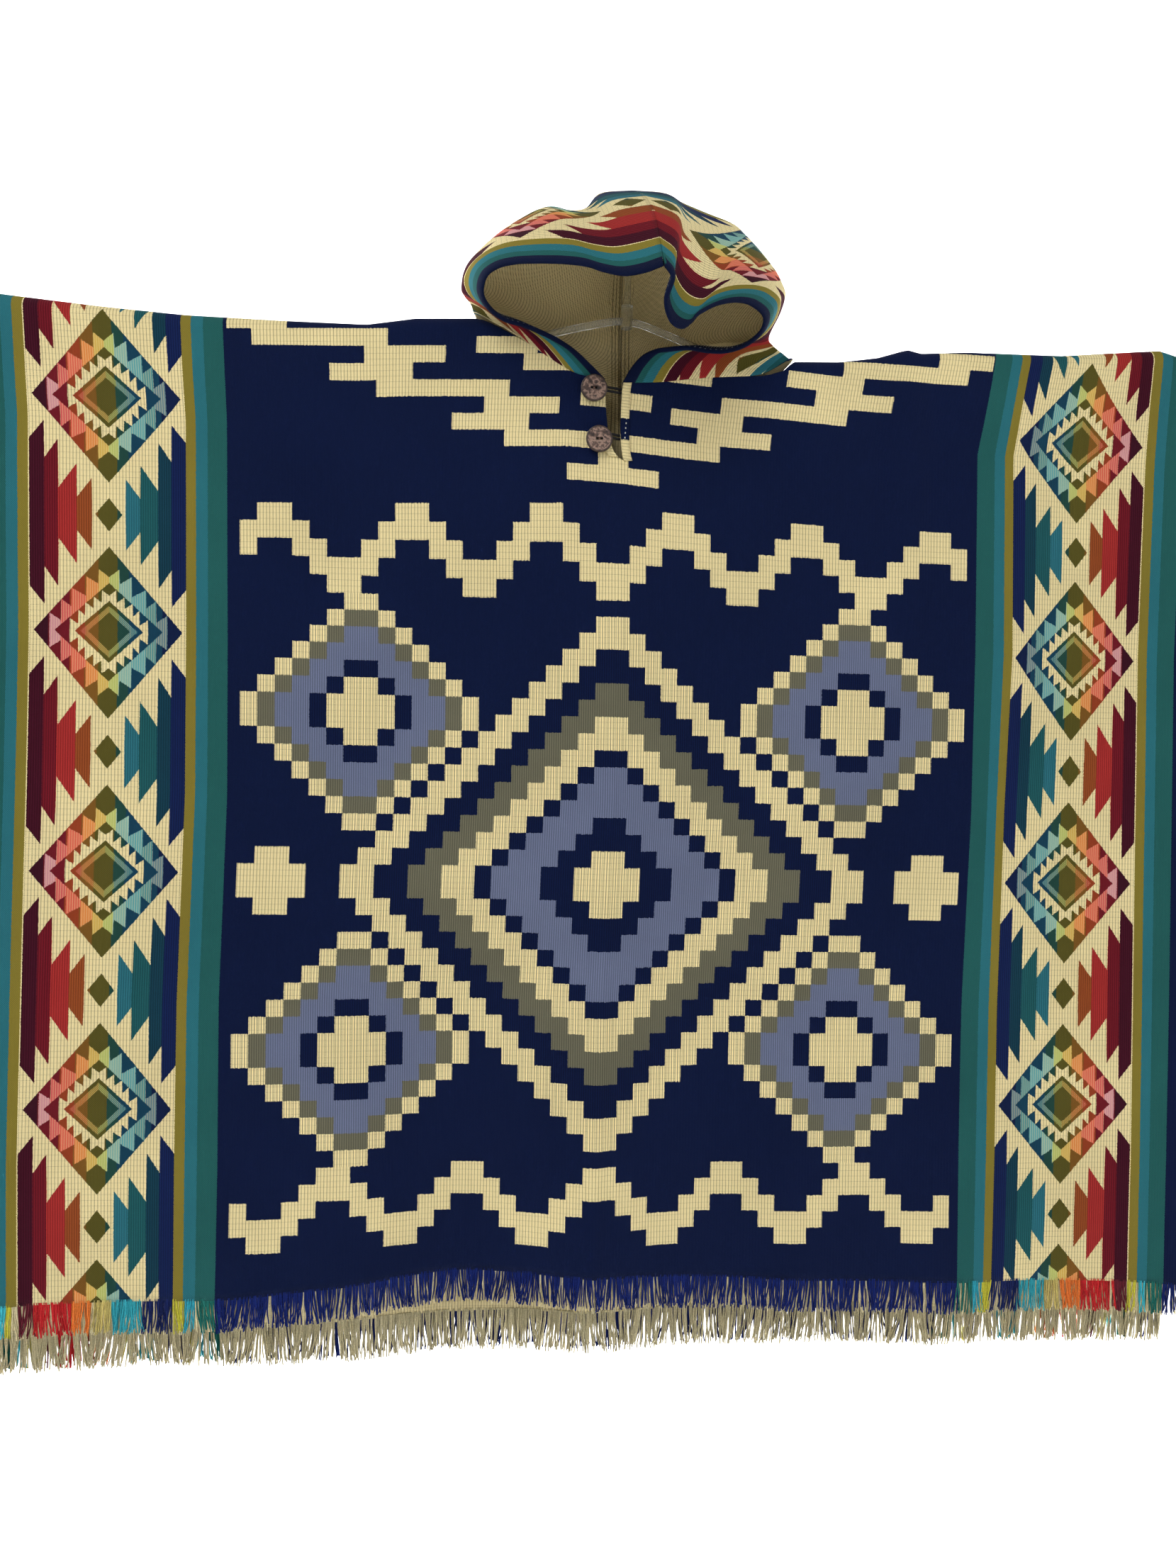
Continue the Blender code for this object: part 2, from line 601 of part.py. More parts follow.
def build_loop(name, x, z, loop_z, collection, mats):
    """Elastic loop: sewn behind the right edge of the slit, through it, round the stem."""
    cut_left, cut_right = (float(v) for v in edge_lines(SLIT_LINES, loop_z))
    strand = LOOP_RADIUS + 0.5
    turn = STEM_RADIUS + SEAM + LOOP_RADIUS
    clear = CLOTH / 2 + SEAM + LOOP_RADIUS
    on_left = np.linspace(x - turn, cut_left, 9)
    on_right = np.linspace(cut_right, cut_right + LOOP_TAIL, 9)
    before = float(front_depth(on_left, np.full(9, z)).min()) - clear
    behind = float(front_depth(on_right, np.full(9, loop_z)).max()) + clear
    upper = [
        (cut_right + LOOP_TAIL, behind, loop_z + strand),
        (cut_right, behind, loop_z + strand),
        (cut_right - 3, behind - 0.4, loop_z + strand),
        (cut_left + 3, before + 0.4, loop_z + strand),
        (cut_left, before, (loop_z + z) / 2 + strand),
    ]
    around = [(x - turn * math.sin(a), before, z + turn * math.cos(a))
              for a in np.radians(np.linspace(-10, 190, 9))]
    lower = [(px, py, pz - 2 * strand) for px, py, pz in upper]
    tube("loop_" + name, np.array(upper + around + lower[::-1]), LOOP_RADIUS, 2, collection,
         mats["elastic"])


# Fringe


def build_fringe(name, hem, sizes, collection, mat):
    """A strip just below the hem with strands drawn down from its underside."""
    count, strip_height, length, variation, sway, seed = sizes
    rng = random.Random(seed)
    run = np.concatenate([[0], np.cumsum(np.linalg.norm(np.diff(hem, axis=0), axis=1))])
    pitch = run[-1] / count
    places = []
    for i in range(count):
        start = (i + (1 - STRAND_SHARE) / 2) * pitch
        places += [start, start + STRAND_SHARE * pitch]
    places = np.array([0.0] + places + [run[-1]])
    top = np.stack([np.interp(places, run, hem[:, axis]) for axis in range(3)], axis=1)
    top[:, 2] -= SEAM
    bm = bmesh.new()
    rings = []
    for x, y, z in top:
        ring = [(x, y - CLOTH / 2, z), (x, y + CLOTH / 2, z),
                (x, y + CLOTH / 2, z - strip_height), (x, y - CLOTH / 2, z - strip_height)]
        rings.append([bm.verts.new(co) for co in to_row(ring)])
    under = []
    for a, b in zip(rings, rings[1:]):
        sides = [bm.faces.new((a[k], b[k], b[(k + 1) % 4], a[(k + 1) % 4])) for k in range(4)]
        under.append(sides[2])
    bm.faces.new(rings[0])
    bm.faces.new(rings[-1][::-1])
    bmesh.ops.recalc_face_normals(bm, faces=bm.faces)
    for root in under[1::2][:count]:
        drop = length + rng.uniform(-variation, variation)
        lean = rng.uniform(-sway, sway)
        depth = rng.uniform(-STRAND_DEPTH, STRAND_DEPTH)
        tip = bmesh.ops.extrude_discrete_faces(bm, faces=[root])["faces"][0]
        centre = tip.calc_center_median()
        for v in tip.verts:
            v.co.x = centre.x + (v.co.x - centre.x) * TIP_SHARE + lean * MM
            v.co.y = centre.y + (v.co.y - centre.y) * TIP_SHARE + depth * MM
            v.co.z -= drop * MM
    mesh = bpy.data.meshes.new(name)
    bm.to_mesh(mesh)
    bm.free()
    add_object(name, mesh, collection, mat)


# Hanger


def mesh_from_curve(obj, collection):
    """Makes a curve object a closed mesh, so that it can be joined to another piece."""
    graph = bpy.context.evaluated_depsgraph_get()
    mesh = bpy.data.meshes.new_from_object(obj.evaluated_get(graph))
    bm = bmesh.new()
    bm.from_mesh(mesh)
    bmesh.ops.remove_doubles(bm, verts=bm.verts, dist=1e-6)
    bmesh.ops.recalc_face_normals(bm, faces=bm.faces)
    bm.to_mesh(mesh)
    bm.free()
    name = obj.name
    made = bpy.data.objects.new(name, mesh)
    made.matrix_world = obj.matrix_world
    bpy.data.objects.remove(obj)
    made.name = name
    collection.objects.link(made)
    return made


def build_hanger(collection, cutters, mats):
    hang_x, hang_y, _ = HOOK_SEAT
    across = np.linspace(-ARM_SPAN, ARM_SPAN, 25)
    drop = ARM_SLOPE * (np.sqrt(across**2 + ARM_CROWN**2) - ARM_CROWN) + ARM_TILT * across
    arms = tube("hanger_arms", np.stack([hang_x + across, np.full(25, hang_y),
                                         ARM_APEX_Z - drop], axis=1),
                ARM_RADIUS, 2, collection, mats["clear"])
    arms = mesh_from_curve(arms, collection)
    bm = bmesh.new()
    bmesh.ops.create_cone(bm, cap_ends=True, cap_tris=False, segments=20,
                          radius1=COLLAR_RADIUS * MM, radius2=COLLAR_RADIUS * MM,
                          depth=(COLLAR_HIGH - COLLAR_LOW) * MM)
    centre = to_row((hang_x, hang_y, (COLLAR_HIGH + COLLAR_LOW) / 2))
    for v in bm.verts:
        v.co = [v.co[k] + centre[k] for k in range(3)]
    collar = cutter("collar", bm, cutters)
    join = arms.modifiers.new("Collar", "BOOLEAN")
    join.operation = "UNION"
    join.object = collar
    # The hook: up from the collar, out to the right, over the top and down on the left
    bend_z = HOOK_SEAT[2] - (HOOK_BEND_RADIUS - ROD_RADIUS)
    bend = [(hang_x + HOOK_BEND_RADIUS * math.cos(a), hang_y, bend_z + HOOK_BEND_RADIUS * math.sin(a))
            for a in np.radians(np.linspace(*HOOK_BEND, 17))]
    neck_z = bend_z - HOOK_NECK_DROP
    stem = [(hang_x, hang_y, COLLAR_HIGH + SEAM), (hang_x, hang_y, neck_z)]
    stem += [(hang_x + across_step, hang_y, neck_z + up) for across_step, up in HOOK_NECK_STEPS]
    tip = [(bend[-1][0] + HOOK_TIP_STEP[0], hang_y, bend[-1][2] + HOOK_TIP_STEP[1])]
    tube("hanger_hook", np.array(stem + bend + tip), ROD_RADIUS, 2, collection, mats["clear"])


def main():
    for obj in list(bpy.data.objects):
        bpy.data.objects.remove(obj)
    scene = bpy.context.scene
    garment = bpy.data.collections.new("hooded_poncho_on_hanger")
    cutters = bpy.data.collections.new("cutters")
    for group in (garment, cutters):
        scene.collection.children.link(group)
    mats = {
        "navy": material("navy_cloth", (0.012, 0.022, 0.10), 0.95),
        "band": material("band_cloth", (0.45, 0.33, 0.20), 0.95),
        "cream": material("cream_cloth", (0.78, 0.70, 0.47), 0.95),
        "fringe": material("fringe_yarn", (0.05, 0.08, 0.22), 0.9),
        "back_fringe": material("back_fringe_yarn", (0.55, 0.50, 0.36), 0.9),
        "shell": material("coconut_shell", (0.22, 0.13, 0.09), 0.45),
        "elastic": material("black_elastic", (0.01, 0.01, 0.012), 0.7),
        "clear": material("clear_plastic", (0.85, 0.87, 0.88), 0.12, alpha=0.45),
    }
    front_hem, back_hem, necks = build_panels(garment, mats)
    build_hood(necks, garment, mats)
    for name, x, z, loop_z in BUTTONS:
        build_button(name, x, z, garment, cutters, mats)
        build_loop(name, x, z, loop_z, garment, mats)
    build_fringe("front_fringe", front_hem, FRONT_FRINGE, garment, mats["fringe"])
    build_fringe("back_fringe", back_hem, BACK_FRINGE, garment, mats["back_fringe"])
    build_hanger(garment, cutters, mats)


main()
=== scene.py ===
import math

import bpy
import numpy as np
from mathutils import Matrix, Vector


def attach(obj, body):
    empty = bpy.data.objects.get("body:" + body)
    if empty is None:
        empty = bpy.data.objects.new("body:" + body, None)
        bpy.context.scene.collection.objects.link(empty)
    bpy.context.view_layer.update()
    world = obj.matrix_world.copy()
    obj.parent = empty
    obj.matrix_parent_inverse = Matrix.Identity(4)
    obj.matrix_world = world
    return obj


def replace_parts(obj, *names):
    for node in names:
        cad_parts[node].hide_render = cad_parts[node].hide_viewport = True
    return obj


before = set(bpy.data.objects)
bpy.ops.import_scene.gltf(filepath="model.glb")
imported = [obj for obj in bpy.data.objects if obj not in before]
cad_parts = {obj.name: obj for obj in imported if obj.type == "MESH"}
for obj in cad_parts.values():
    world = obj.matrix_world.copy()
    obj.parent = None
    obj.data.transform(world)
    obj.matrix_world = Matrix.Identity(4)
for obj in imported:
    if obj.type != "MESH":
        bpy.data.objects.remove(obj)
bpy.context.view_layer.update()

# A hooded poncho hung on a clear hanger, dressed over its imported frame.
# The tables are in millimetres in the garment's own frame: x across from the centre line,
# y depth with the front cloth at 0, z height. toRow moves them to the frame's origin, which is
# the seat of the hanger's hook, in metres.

mm = 0.001
hookSeat = np.array([14.0, 12.0, 529.5])
print("poncho: frame loaded")


# Camera and studio

cameraView = {
    "place": (-0.12705, -1.12094, -0.53009),
    "turn": 5.054,        # degrees to the right of straight ahead
    "down": 1.185,
    "roll": 1.198,
    "lens": 27.08,
    "sensor": 36.0,
}

studio = {
    "floorHeight": -1.75,
    "backDistance": 1.5,
    "sweepRadius": 0.6,
    "halfWidth": 5.0,
    "nearEdge": -4.0,
    "wallHeight": 6.0,
    "bendSteps": 13,
    "paper": (0.96, 0.96, 0.96),
    "worldStrength": 0.34,
    "lights": [
        # name, place, aim, size, watts, how wide it spreads in degrees
        ("keyLight", (-1.3, -2.0, 1.4), (0.0, 0.0, -0.5), 1.6, 42.0, 180),
        ("fillLight", (1.8, -2.4, 0.3), (0.0, 0.0, -0.5), 2.2, 17.0, 180),
        ("backLightLeft", (-2.4, 0.75, -0.5), (-1.1, 1.5, -0.4), 1.1, 116.0, 112),
        ("backLightRight", (2.4, 0.75, -0.5), (1.1, 1.5, -0.4), 1.1, 116.0, 112),
    ],
}


def makeCamera(view):
    data = bpy.data.cameras.new("camera")
    data.lens = view["lens"]
    data.sensor_width = view["sensor"]
    camera = bpy.data.objects.new("camera", data)
    turned = Matrix.Rotation(-math.radians(view["turn"]), 4, "Z")
    raised = Matrix.Rotation(math.radians(90 - view["down"]), 4, "X")
    rolled = Matrix.Rotation(math.radians(view["roll"]), 4, "Z")
    camera.matrix_world = Matrix.Translation(view["place"]) @ turned @ raised @ rolled
    bpy.context.scene.collection.objects.link(camera)
    bpy.context.scene.camera = camera


def makeStudio(values):
    # Floor and wall are one sheet of paper, joined by a quarter circle.
    low, far, bend = values["floorHeight"], values["backDistance"], values["sweepRadius"]
    top = low + values["wallHeight"]
    turns = np.radians(np.linspace(0, 90, values["bendSteps"]))
    depth = np.concatenate([[values["nearEdge"]], far - bend + bend * np.sin(turns), [far]])
    height = np.concatenate([[low], low + bend - bend * np.cos(turns), [top]])
    across = np.array([-values["halfWidth"], values["halfWidth"]])
    points = np.stack(np.broadcast_arrays(across[:, None], depth[None], height[None]), axis=-1)
    paper = plainMaterial("studioPaper", values["paper"], 1.0)
    sweep = addMesh("studioSweep", points.reshape(-1, 3), gridFaces(2, len(depth)), [paper])
    world = bpy.data.worlds.new("studioWorld")
    world.use_nodes = True
    world.node_tree.nodes["Background"].inputs["Color"].default_value = (1, 1, 1, 1)
    world.node_tree.nodes["Background"].inputs["Strength"].default_value = values["worldStrength"]
    bpy.context.scene.world = world
    for name, place, aim, size, watts, spread in values["lights"]:
        data = bpy.data.lights.new(name, "AREA")
        data.size = size
        data.energy = watts
        data.spread = math.radians(spread)
        light = bpy.data.objects.new(name, data)
        light.location = place
        light.rotation_euler = (Vector(aim) - Vector(place)).to_track_quat("-Z", "Y").to_euler()
        bpy.context.scene.collection.objects.link(light)
    bpy.context.scene.view_settings.view_transform = "Standard"


# Small tools for shapes


def toRow(points):
    # From the hook's seat, then from millimetres to metres.
    return (np.asarray(points, float) - hookSeat) * mm


def smoothRead(stations, values, at):
    # A smooth curve through a table: cubic pieces whose slopes come from their neighbours.
    stations = np.asarray(stations, float)
    values = np.asarray(values, float)
    at = np.clip(np.asarray(at, float), stations[0], stations[-1])
    slopes = np.gradient(values, stations, axis=0)
    piece = np.clip(np.searchsorted(stations, at, side="right") - 1, 0, len(stations) - 2)
    span = stations[piece + 1] - stations[piece]
    t = (at - stations[piece]) / span
    if values.ndim > 1:
        extra = (1,) * (values.ndim - 1)
        t, span = t.reshape(t.shape + extra), span.reshape(span.shape + extra)
    start = 2 * t**3 - 3 * t**2 + 1
    startSlope = t**3 - 2 * t**2 + t
    endSlope = t**3 - t**2
    return (start * values[piece] + startSlope * span * slopes[piece]
            + (1 - start) * values[piece + 1] + endSlope * span * slopes[piece + 1])


def lineAt(table, x):
    # Straight lines between the rows of a table.
    return np.interp(x, [row[0] for row in table], [row[1] for row in table])


def unit(v):
    # Each direction over its own length.
    return v / np.maximum(np.linalg.norm(v, axis=-1, keepdims=True), 1e-9)


def runLength(points):
    # How far each point lies along its path: the sum of the steps before it.
    steps = np.linalg.norm(np.diff(points, axis=0), axis=-1)
    return np.concatenate([np.zeros_like(steps[:1]), np.cumsum(steps, axis=0)])


def gridFaces(rows, columns, keep=None, ring=False):
    # A face for each cell of a grid. A ring also joins its last column to the first.
    corner = np.arange(rows * columns).reshape(rows, columns)
    if ring:
        corner = np.concatenate([corner, corner[:, :1]], axis=1)
    quads = np.stack([corner[:-1, :-1], corner[1:, :-1], corner[1:, 1:], corner[:-1, 1:]], axis=-1)
    return quads[keep] if keep is not None else quads.reshape(-1, 4)


def addMesh(name, points, faces, materials, uv=None, colours=None, seam=None):
    # Points are in metres in the frame, uv is a pair for each point.
    used, faces = np.unique(np.asarray(faces), return_inverse=True)
    faces = faces.reshape(-1, 4)
    mesh = bpy.data.meshes.new(name)
    mesh.from_pydata(np.asarray(points)[used].tolist(), [], faces.tolist())
    if uv is not None:
        corners = np.empty(len(mesh.loops), np.int32)
        mesh.loops.foreach_get("vertex_index", corners)
        layer = mesh.uv_layers.new(name="cloth")
        layer.data.foreach_set("uv", np.asarray(uv, np.float32)[used][corners].ravel())
    if colours is not None:
        tints = mesh.attributes.new("yarn", "FLOAT_COLOR", "POINT")
        tints.data.foreach_set("color", np.asarray(colours, np.float32)[used].ravel())
    if seam is not None:
        nearSeam = mesh.attributes.new("seam", "FLOAT", "POINT")
        nearSeam.data.foreach_set("value", np.asarray(seam, np.float32).ravel()[used])
    mesh.shade_smooth()
    for mat in materials:
        mesh.materials.append(mat)
    obj = bpy.data.objects.new(name, mesh)
    bpy.context.scene.collection.objects.link(obj)
    return obj


def thicken(obj, thickness, inside=0, rim=0):
    # Half the thickness to each side, with the reverse's material inside.
    wall = obj.modifiers.new("wall", "SOLIDIFY")
    wall.thickness = thickness * mm
    wall.offset = 0
    wall.use_even_offset = False
    wall.material_offset = inside
    wall.material_offset_rim = rim
    return obj


def sweepRing(path, across, out, halfWidth, halfDepth, sides=14):
    # A rounded strip along a path. across and out are its two directions at each point. The
    # power of the cosine, a little below one, squares its sides.
    turn = np.linspace(0, 2 * math.pi, sides, endpoint=False)
    flat = np.sign(np.cos(turn)) * np.abs(np.cos(turn)) ** 0.8
    return (path[:, None] + across[:, None] * (flat * halfWidth)[None, :, None]
            + out[:, None] * (np.sin(turn) * halfDepth)[None, :, None])


# Small tools for shaders


class shaderNumber:
    # A number inside a shader. Arithmetic on it adds the math nodes.
    def __init__(self, tree, socket):
        self.tree = tree
        self.socket = socket

    def use(self, operation, *others):
        node = self.tree.nodes.new("ShaderNodeMath")
        node.operation = operation
        for place, value in zip(node.inputs, (self,) + others):
            setInput(self.tree, place, value)
        return shaderNumber(self.tree, node.outputs[0])

    def __add__(self, other):
        return self.use("ADD", other)

    def __radd__(self, other):
        return self.use("ADD", other)

    def __sub__(self, other):
        return self.use("SUBTRACT", other)

    def __rsub__(self, other):
        return (self * -1.0) + other

    def __mul__(self, other):
        return self.use("MULTIPLY", other)

    def __rmul__(self, other):
        return self.use("MULTIPLY", other)

    def __truediv__(self, other):
        return self.use("DIVIDE", other)

    def below(self, other):
        return self.use("LESS_THAN", other)

    def above(self, other):
        return self.use("GREATER_THAN", other)

    def size(self):
        return self.use("ABSOLUTE")


def setInput(tree, place, value):
    if isinstance(value, shaderNumber):
        tree.links.new(value.socket, place)
    elif isinstance(value, bpy.types.NodeSocket):
        tree.links.new(value, place)
    elif isinstance(value, tuple) and len(value) == 3 and place.type == "RGBA":
        place.default_value = (*value, 1)
    else:
        place.default_value = value


def linear(red, green, blue):
    # A colour as seen, 0 to 255, made linear for the shader.
    return tuple(((c / 255 + 0.055) / 1.055) ** 2.4 if c > 10 else c / 255 / 12.92
                 for c in (red, green, blue))


def newMaterial(name):
    mat = bpy.data.materials.new(name)
    mat.use_nodes = True
    return mat, mat.node_tree, mat.node_tree.nodes["Principled BSDF"]


def plainMaterial(name, colour, roughness):
    mat, tree, shader = newMaterial(name)
    setInput(tree, shader.inputs["Base Color"], colour)
    setInput(tree, shader.inputs["Roughness"], roughness)
    return mat


def mixColour(tree, share, first, second):
    node = tree.nodes.new("ShaderNodeMix")
    node.data_type = "RGBA"
    setInput(tree, node.inputs[0], share)
    setInput(tree, node.inputs[6], first)
    setInput(tree, node.inputs[7], second)
    return node.outputs[2]


def tintColour(tree, colour, factor):
    # The colour times a number.
    node = tree.nodes.new("ShaderNodeVectorMath")
    node.operation = "SCALE"
    setInput(tree, node.inputs[0], colour)
    setInput(tree, node.inputs["Scale"], factor)
    return node.outputs[0]


def ramp(value, low, high, stops, steps=True):
    # Colours or heights read from a table by a number between low and high.
    tree = value.tree
    node = tree.nodes.new("ShaderNodeValToRGB")
    band = node.color_ramp
    band.interpolation = "CONSTANT" if steps else "LINEAR"
    while len(band.elements) < len(stops):
        band.elements.new(0.5)
    for element, (place, colour) in zip(band.elements, stops):
        element.position = (place - low) / (high - low)
    for element, (place, colour) in zip(band.elements, stops):
        element.color = (*colour, 1) if isinstance(colour, tuple) else (colour, colour, colour, 1)
    setInput(tree, node.inputs[0], (value - low) / (high - low))
    return node.outputs[0]


def rampNumber(value, low, high, stops, steps=True):
    return shaderNumber(value.tree, ramp(value, low, high, stops, steps))


def splitPlace(tree, socket):
    # The three numbers of a place, ready for arithmetic.
    split = tree.nodes.new("ShaderNodeSeparateXYZ")
    tree.links.new(socket, split.inputs[0])
    return [shaderNumber(tree, part) for part in split.outputs]


def clothPlace(tree):
    # A point's place on its cloth, and the two numbers of it.
    place = tree.nodes.new("ShaderNodeUVMap")
    place.uv_map = "cloth"
    across, down = splitPlace(tree, place.outputs[0])[:2]
    return place.outputs[0], across, down


def objectPlace(tree):
    return tree.nodes.new("ShaderNodeTexCoord").outputs["Object"]


def noiseAt(tree, vector, scale, detail=2.0):
    # Soft noise round one half.
    node = tree.nodes.new("ShaderNodeTexNoise")
    tree.links.new(vector, node.inputs["Vector"])
    node.inputs["Scale"].default_value = scale
    node.inputs["Detail"].default_value = detail
    return shaderNumber(tree, node.outputs[0])


def setCloth(shader):
    # Wool: matt, with a little light in its nap.
    shader.inputs["Roughness"].default_value = 0.95
    shader.inputs["Specular IOR Level"].default_value = 0.08
    shader.inputs["Sheen Weight"].default_value = 0.03
    shader.inputs["Sheen Roughness"].default_value = 0.5


def addBump(tree, shader, height, distance, strength=1.0):
    node = tree.nodes.new("ShaderNodeBump")
    setInput(tree, node.inputs["Height"], height)
    node.inputs["Distance"].default_value = distance
    node.inputs["Strength"].default_value = strength
    tree.links.new(node.outputs[0], shader.inputs["Normal"])


# Woven pattern. u runs across the cloth from its centre line and v down from the first large
# diamond, both in millimetres.

dyes = {
    "navy": linear(10, 22, 56),
    "cream": linear(236, 219, 164),
    "olive": linear(130, 117, 46),
    "teal": linear(42, 108, 118),
    "green": linear(35, 91, 88),
    "blueGrey": linear(104, 112, 138),
    "oliveGrey": linear(104, 102, 84),
    "dash": linear(70, 62, 50),
    "reversePale": linear(216, 200, 152),
    "reverseDark": linear(30, 38, 60),
    "hem": linear(10, 21, 54),
    "hemStitch": linear(150, 158, 170),
    "slitStitch": linear(214, 212, 200),
    "lightThread": linear(214, 208, 190),
    "darkThread": linear(18, 18, 24),
}

# Marks of the yarns. Scales are those of the noise, the rest is in millimetres.
weaveMarks = {
    "fuzzAcross": (900.0, 1.6),     # fuzz of the pattern's edges: scale and reach
    "fuzzDown": (640.0, 2.2),
    "dots": (0.85, 0.42),           # half the pitch of the yarns, and where one ends
    "lines": (1.05, 0.72),
    "rib": 1.45,                    # half the pitch of the ribs
    "dash": (0.26, 0.75, 0.22),     # share of the rib, half the pitch along it, and the gap
    "course": (2.6, 0.3),           # half the pitch of the courses, and their width
    "dashShare": 0.62,              # how dark each of them is
    "courseShare": 0.2,
    "cloud": (9.0, 0.3),            # soft unevenness and fine grain: scale and strength
    "grain": (1100.0, 0.26),
    "shade": 0.72,                  # the yarn's least brightness
    "relief": 0.0006,               # depth of the bump, in metres
}

bandUnit = {
    "centre": 459.0,
    "reach": 80.0,
    "halfWidth": 69.0,
    "halfRepeat": 107.5,
    "paleInside": -110.0,
    "bigDiamond": (65.6, 78.0),
    "secondDiamond": (47.8, 44.6),
    "innerDiamond": (30.2, 28.0),
    "smallDiamond": (12.0, 15.3),
    "innerRing": (0.62, 0.84),
    # Height of the serrations' tips, by the distance from the band's centre line
    "lightTips": [
        (0, 50), (9.3, 57.5), (9.4, 43.5), (20, 50.5), (20.1, 32), (33, 39), (33.1, 22),
        (42, 29), (42.1, 9), (52, 15.7), (52.1, 0),
    ],
    "creamTips": [
        (0, 33), (6.3, 37.7), (6.4, 26), (13.5, 31.5), (13.6, 21), (21, 26), (21.1, 14),
        (27, 19.5), (27.1, 6), (34.5, 11), (34.6, 0),
    ],
    "blockTips": [
        (0, 0), (14.8, 0), (14.9, 33), (28, 15.3), (28.1, 45.8), (44, 23), (44.1, 67.5),
        (56, 49.7), (56.1, 84), (71, 65), (80, 60),
    ],
    # Colours from the navy side of the band to its maroon side
    "darkTones": [
        (-80, linear(16, 30, 66)), (-48, linear(22, 62, 84)), (-18, linear(34, 70, 62)),
        (-8, linear(86, 80, 32)), (9, linear(122, 84, 34)), (21, linear(146, 62, 34)),
        (34, linear(108, 25, 35)), (53, linear(57, 17, 31)),
    ],
    "lightTones": [
        (-80, linear(98, 126, 132)), (-42, linear(84, 140, 138)), (-33, linear(96, 160, 160)),
        (-20, linear(132, 174, 160)), (-9.3, linear(178, 186, 104)), (0, linear(206, 170, 84)),
        (9.3, linear(218, 134, 70)), (20, linear(214, 100, 78)), (33, linear(206, 92, 88)),
        (42, linear(202, 140, 146)),
    ],
    "blockTones": [
        (-80, linear(17, 31, 74)), (-56, linear(19, 56, 72)), (-44, linear(30, 84, 88)),
        (-28, linear(42, 104, 116)), (0, linear(140, 70, 34)), (28, linear(156, 44, 42)),
        (44, linear(104, 22, 33)), (56, linear(63, 15, 31)),
    ],
}

stripesFromTo = (340, 600)
stripes = [
    # from this distance from the cloth's centre line outwards
    (340, dyes["navy"]), (351, dyes["green"]), (369, dyes["teal"]), (380, dyes["olive"]),
    (390.5, dyes["cream"]), (528, dyes["olive"]), (538, dyes["teal"]), (548, dyes["green"]),
    (565, dyes["navy"]),
]

# The stepped yoke, charted by rows: each row has cream stretches at distances from the centre.
yokeChart = {
    "rowHeight": 15.5,
    "centre": 1.0,
    "lower": {
        "start": -79.5,
        "rows": [[(297, 349)], [(208.6, 327.6)], [(157, 229.6)], [(186, 260.6)], [(98.5, 219)],
                 [(52, 121)], [(79, 150)], [(0, 101.5)], [(0, 14)], [(0, 43)]],
    },
    "upper": {
        "start": -57.4,
        "rows": [[(75, 130)], [(30, 87)], [], [(9, 33)]],
    },
}

# Stepped diamonds and zigzag rows of a common Andean kind in the middle of the front.
middleDesign = {
    "centre": 436.0,
    "step": 15.5,
    "bigTones": [
        (0, dyes["cream"]), (2, dyes["navy"]), (4, dyes["blueGrey"]), (7, dyes["navy"]),
        (8, dyes["cream"]), (10, dyes["oliveGrey"]), (12, dyes["navy"]), (14, dyes["cream"]),
        (16, dyes["navy"]),
    ],
    "bigPale": [(0, 1), (2, 0), (8, 1), (10, 0), (14, 1), (16, 0)],
    "bigReach": 16,
    "smallCentre": (232.5, 155.0),
    "smallTones": [
        (0, dyes["cream"]), (2, dyes["navy"]), (3, dyes["blueGrey"]), (5, dyes["oliveGrey"]),
        (6, dyes["cream"]), (7, dyes["navy"]),
    ],
    "smallPale": [(0, 1), (2, 0), (6, 1), (7, 0)],
    "smallReach": 7,
    "tinyCentre": (310.0, 0.0),
    "tinyReach": 2,
    "zigzag": (263.5, 4),     # where it starts from the centre, and its columns to a turn
    "halfWidth": 341.0,
    "edge": 351.0,            # where the bands' stripes begin
    "greyStripes": (0.8, 0.5),
}


def inRow(value, start, height):
    # One from start up to start plus height, and nothing elsewhere.
    return value.above(start) * value.below(start + height)


def chartMask(side, v, chart, height):
    # One where the chart's rows are cream.
    total = None
    for index, row in enumerate(chart["rows"]):
        here = inRow(v, chart["start"] + index * height, height)
        for near, far in row:
            patch = here * inRow(side, near, far - near)
            total = patch if total is None else total + patch
    return total


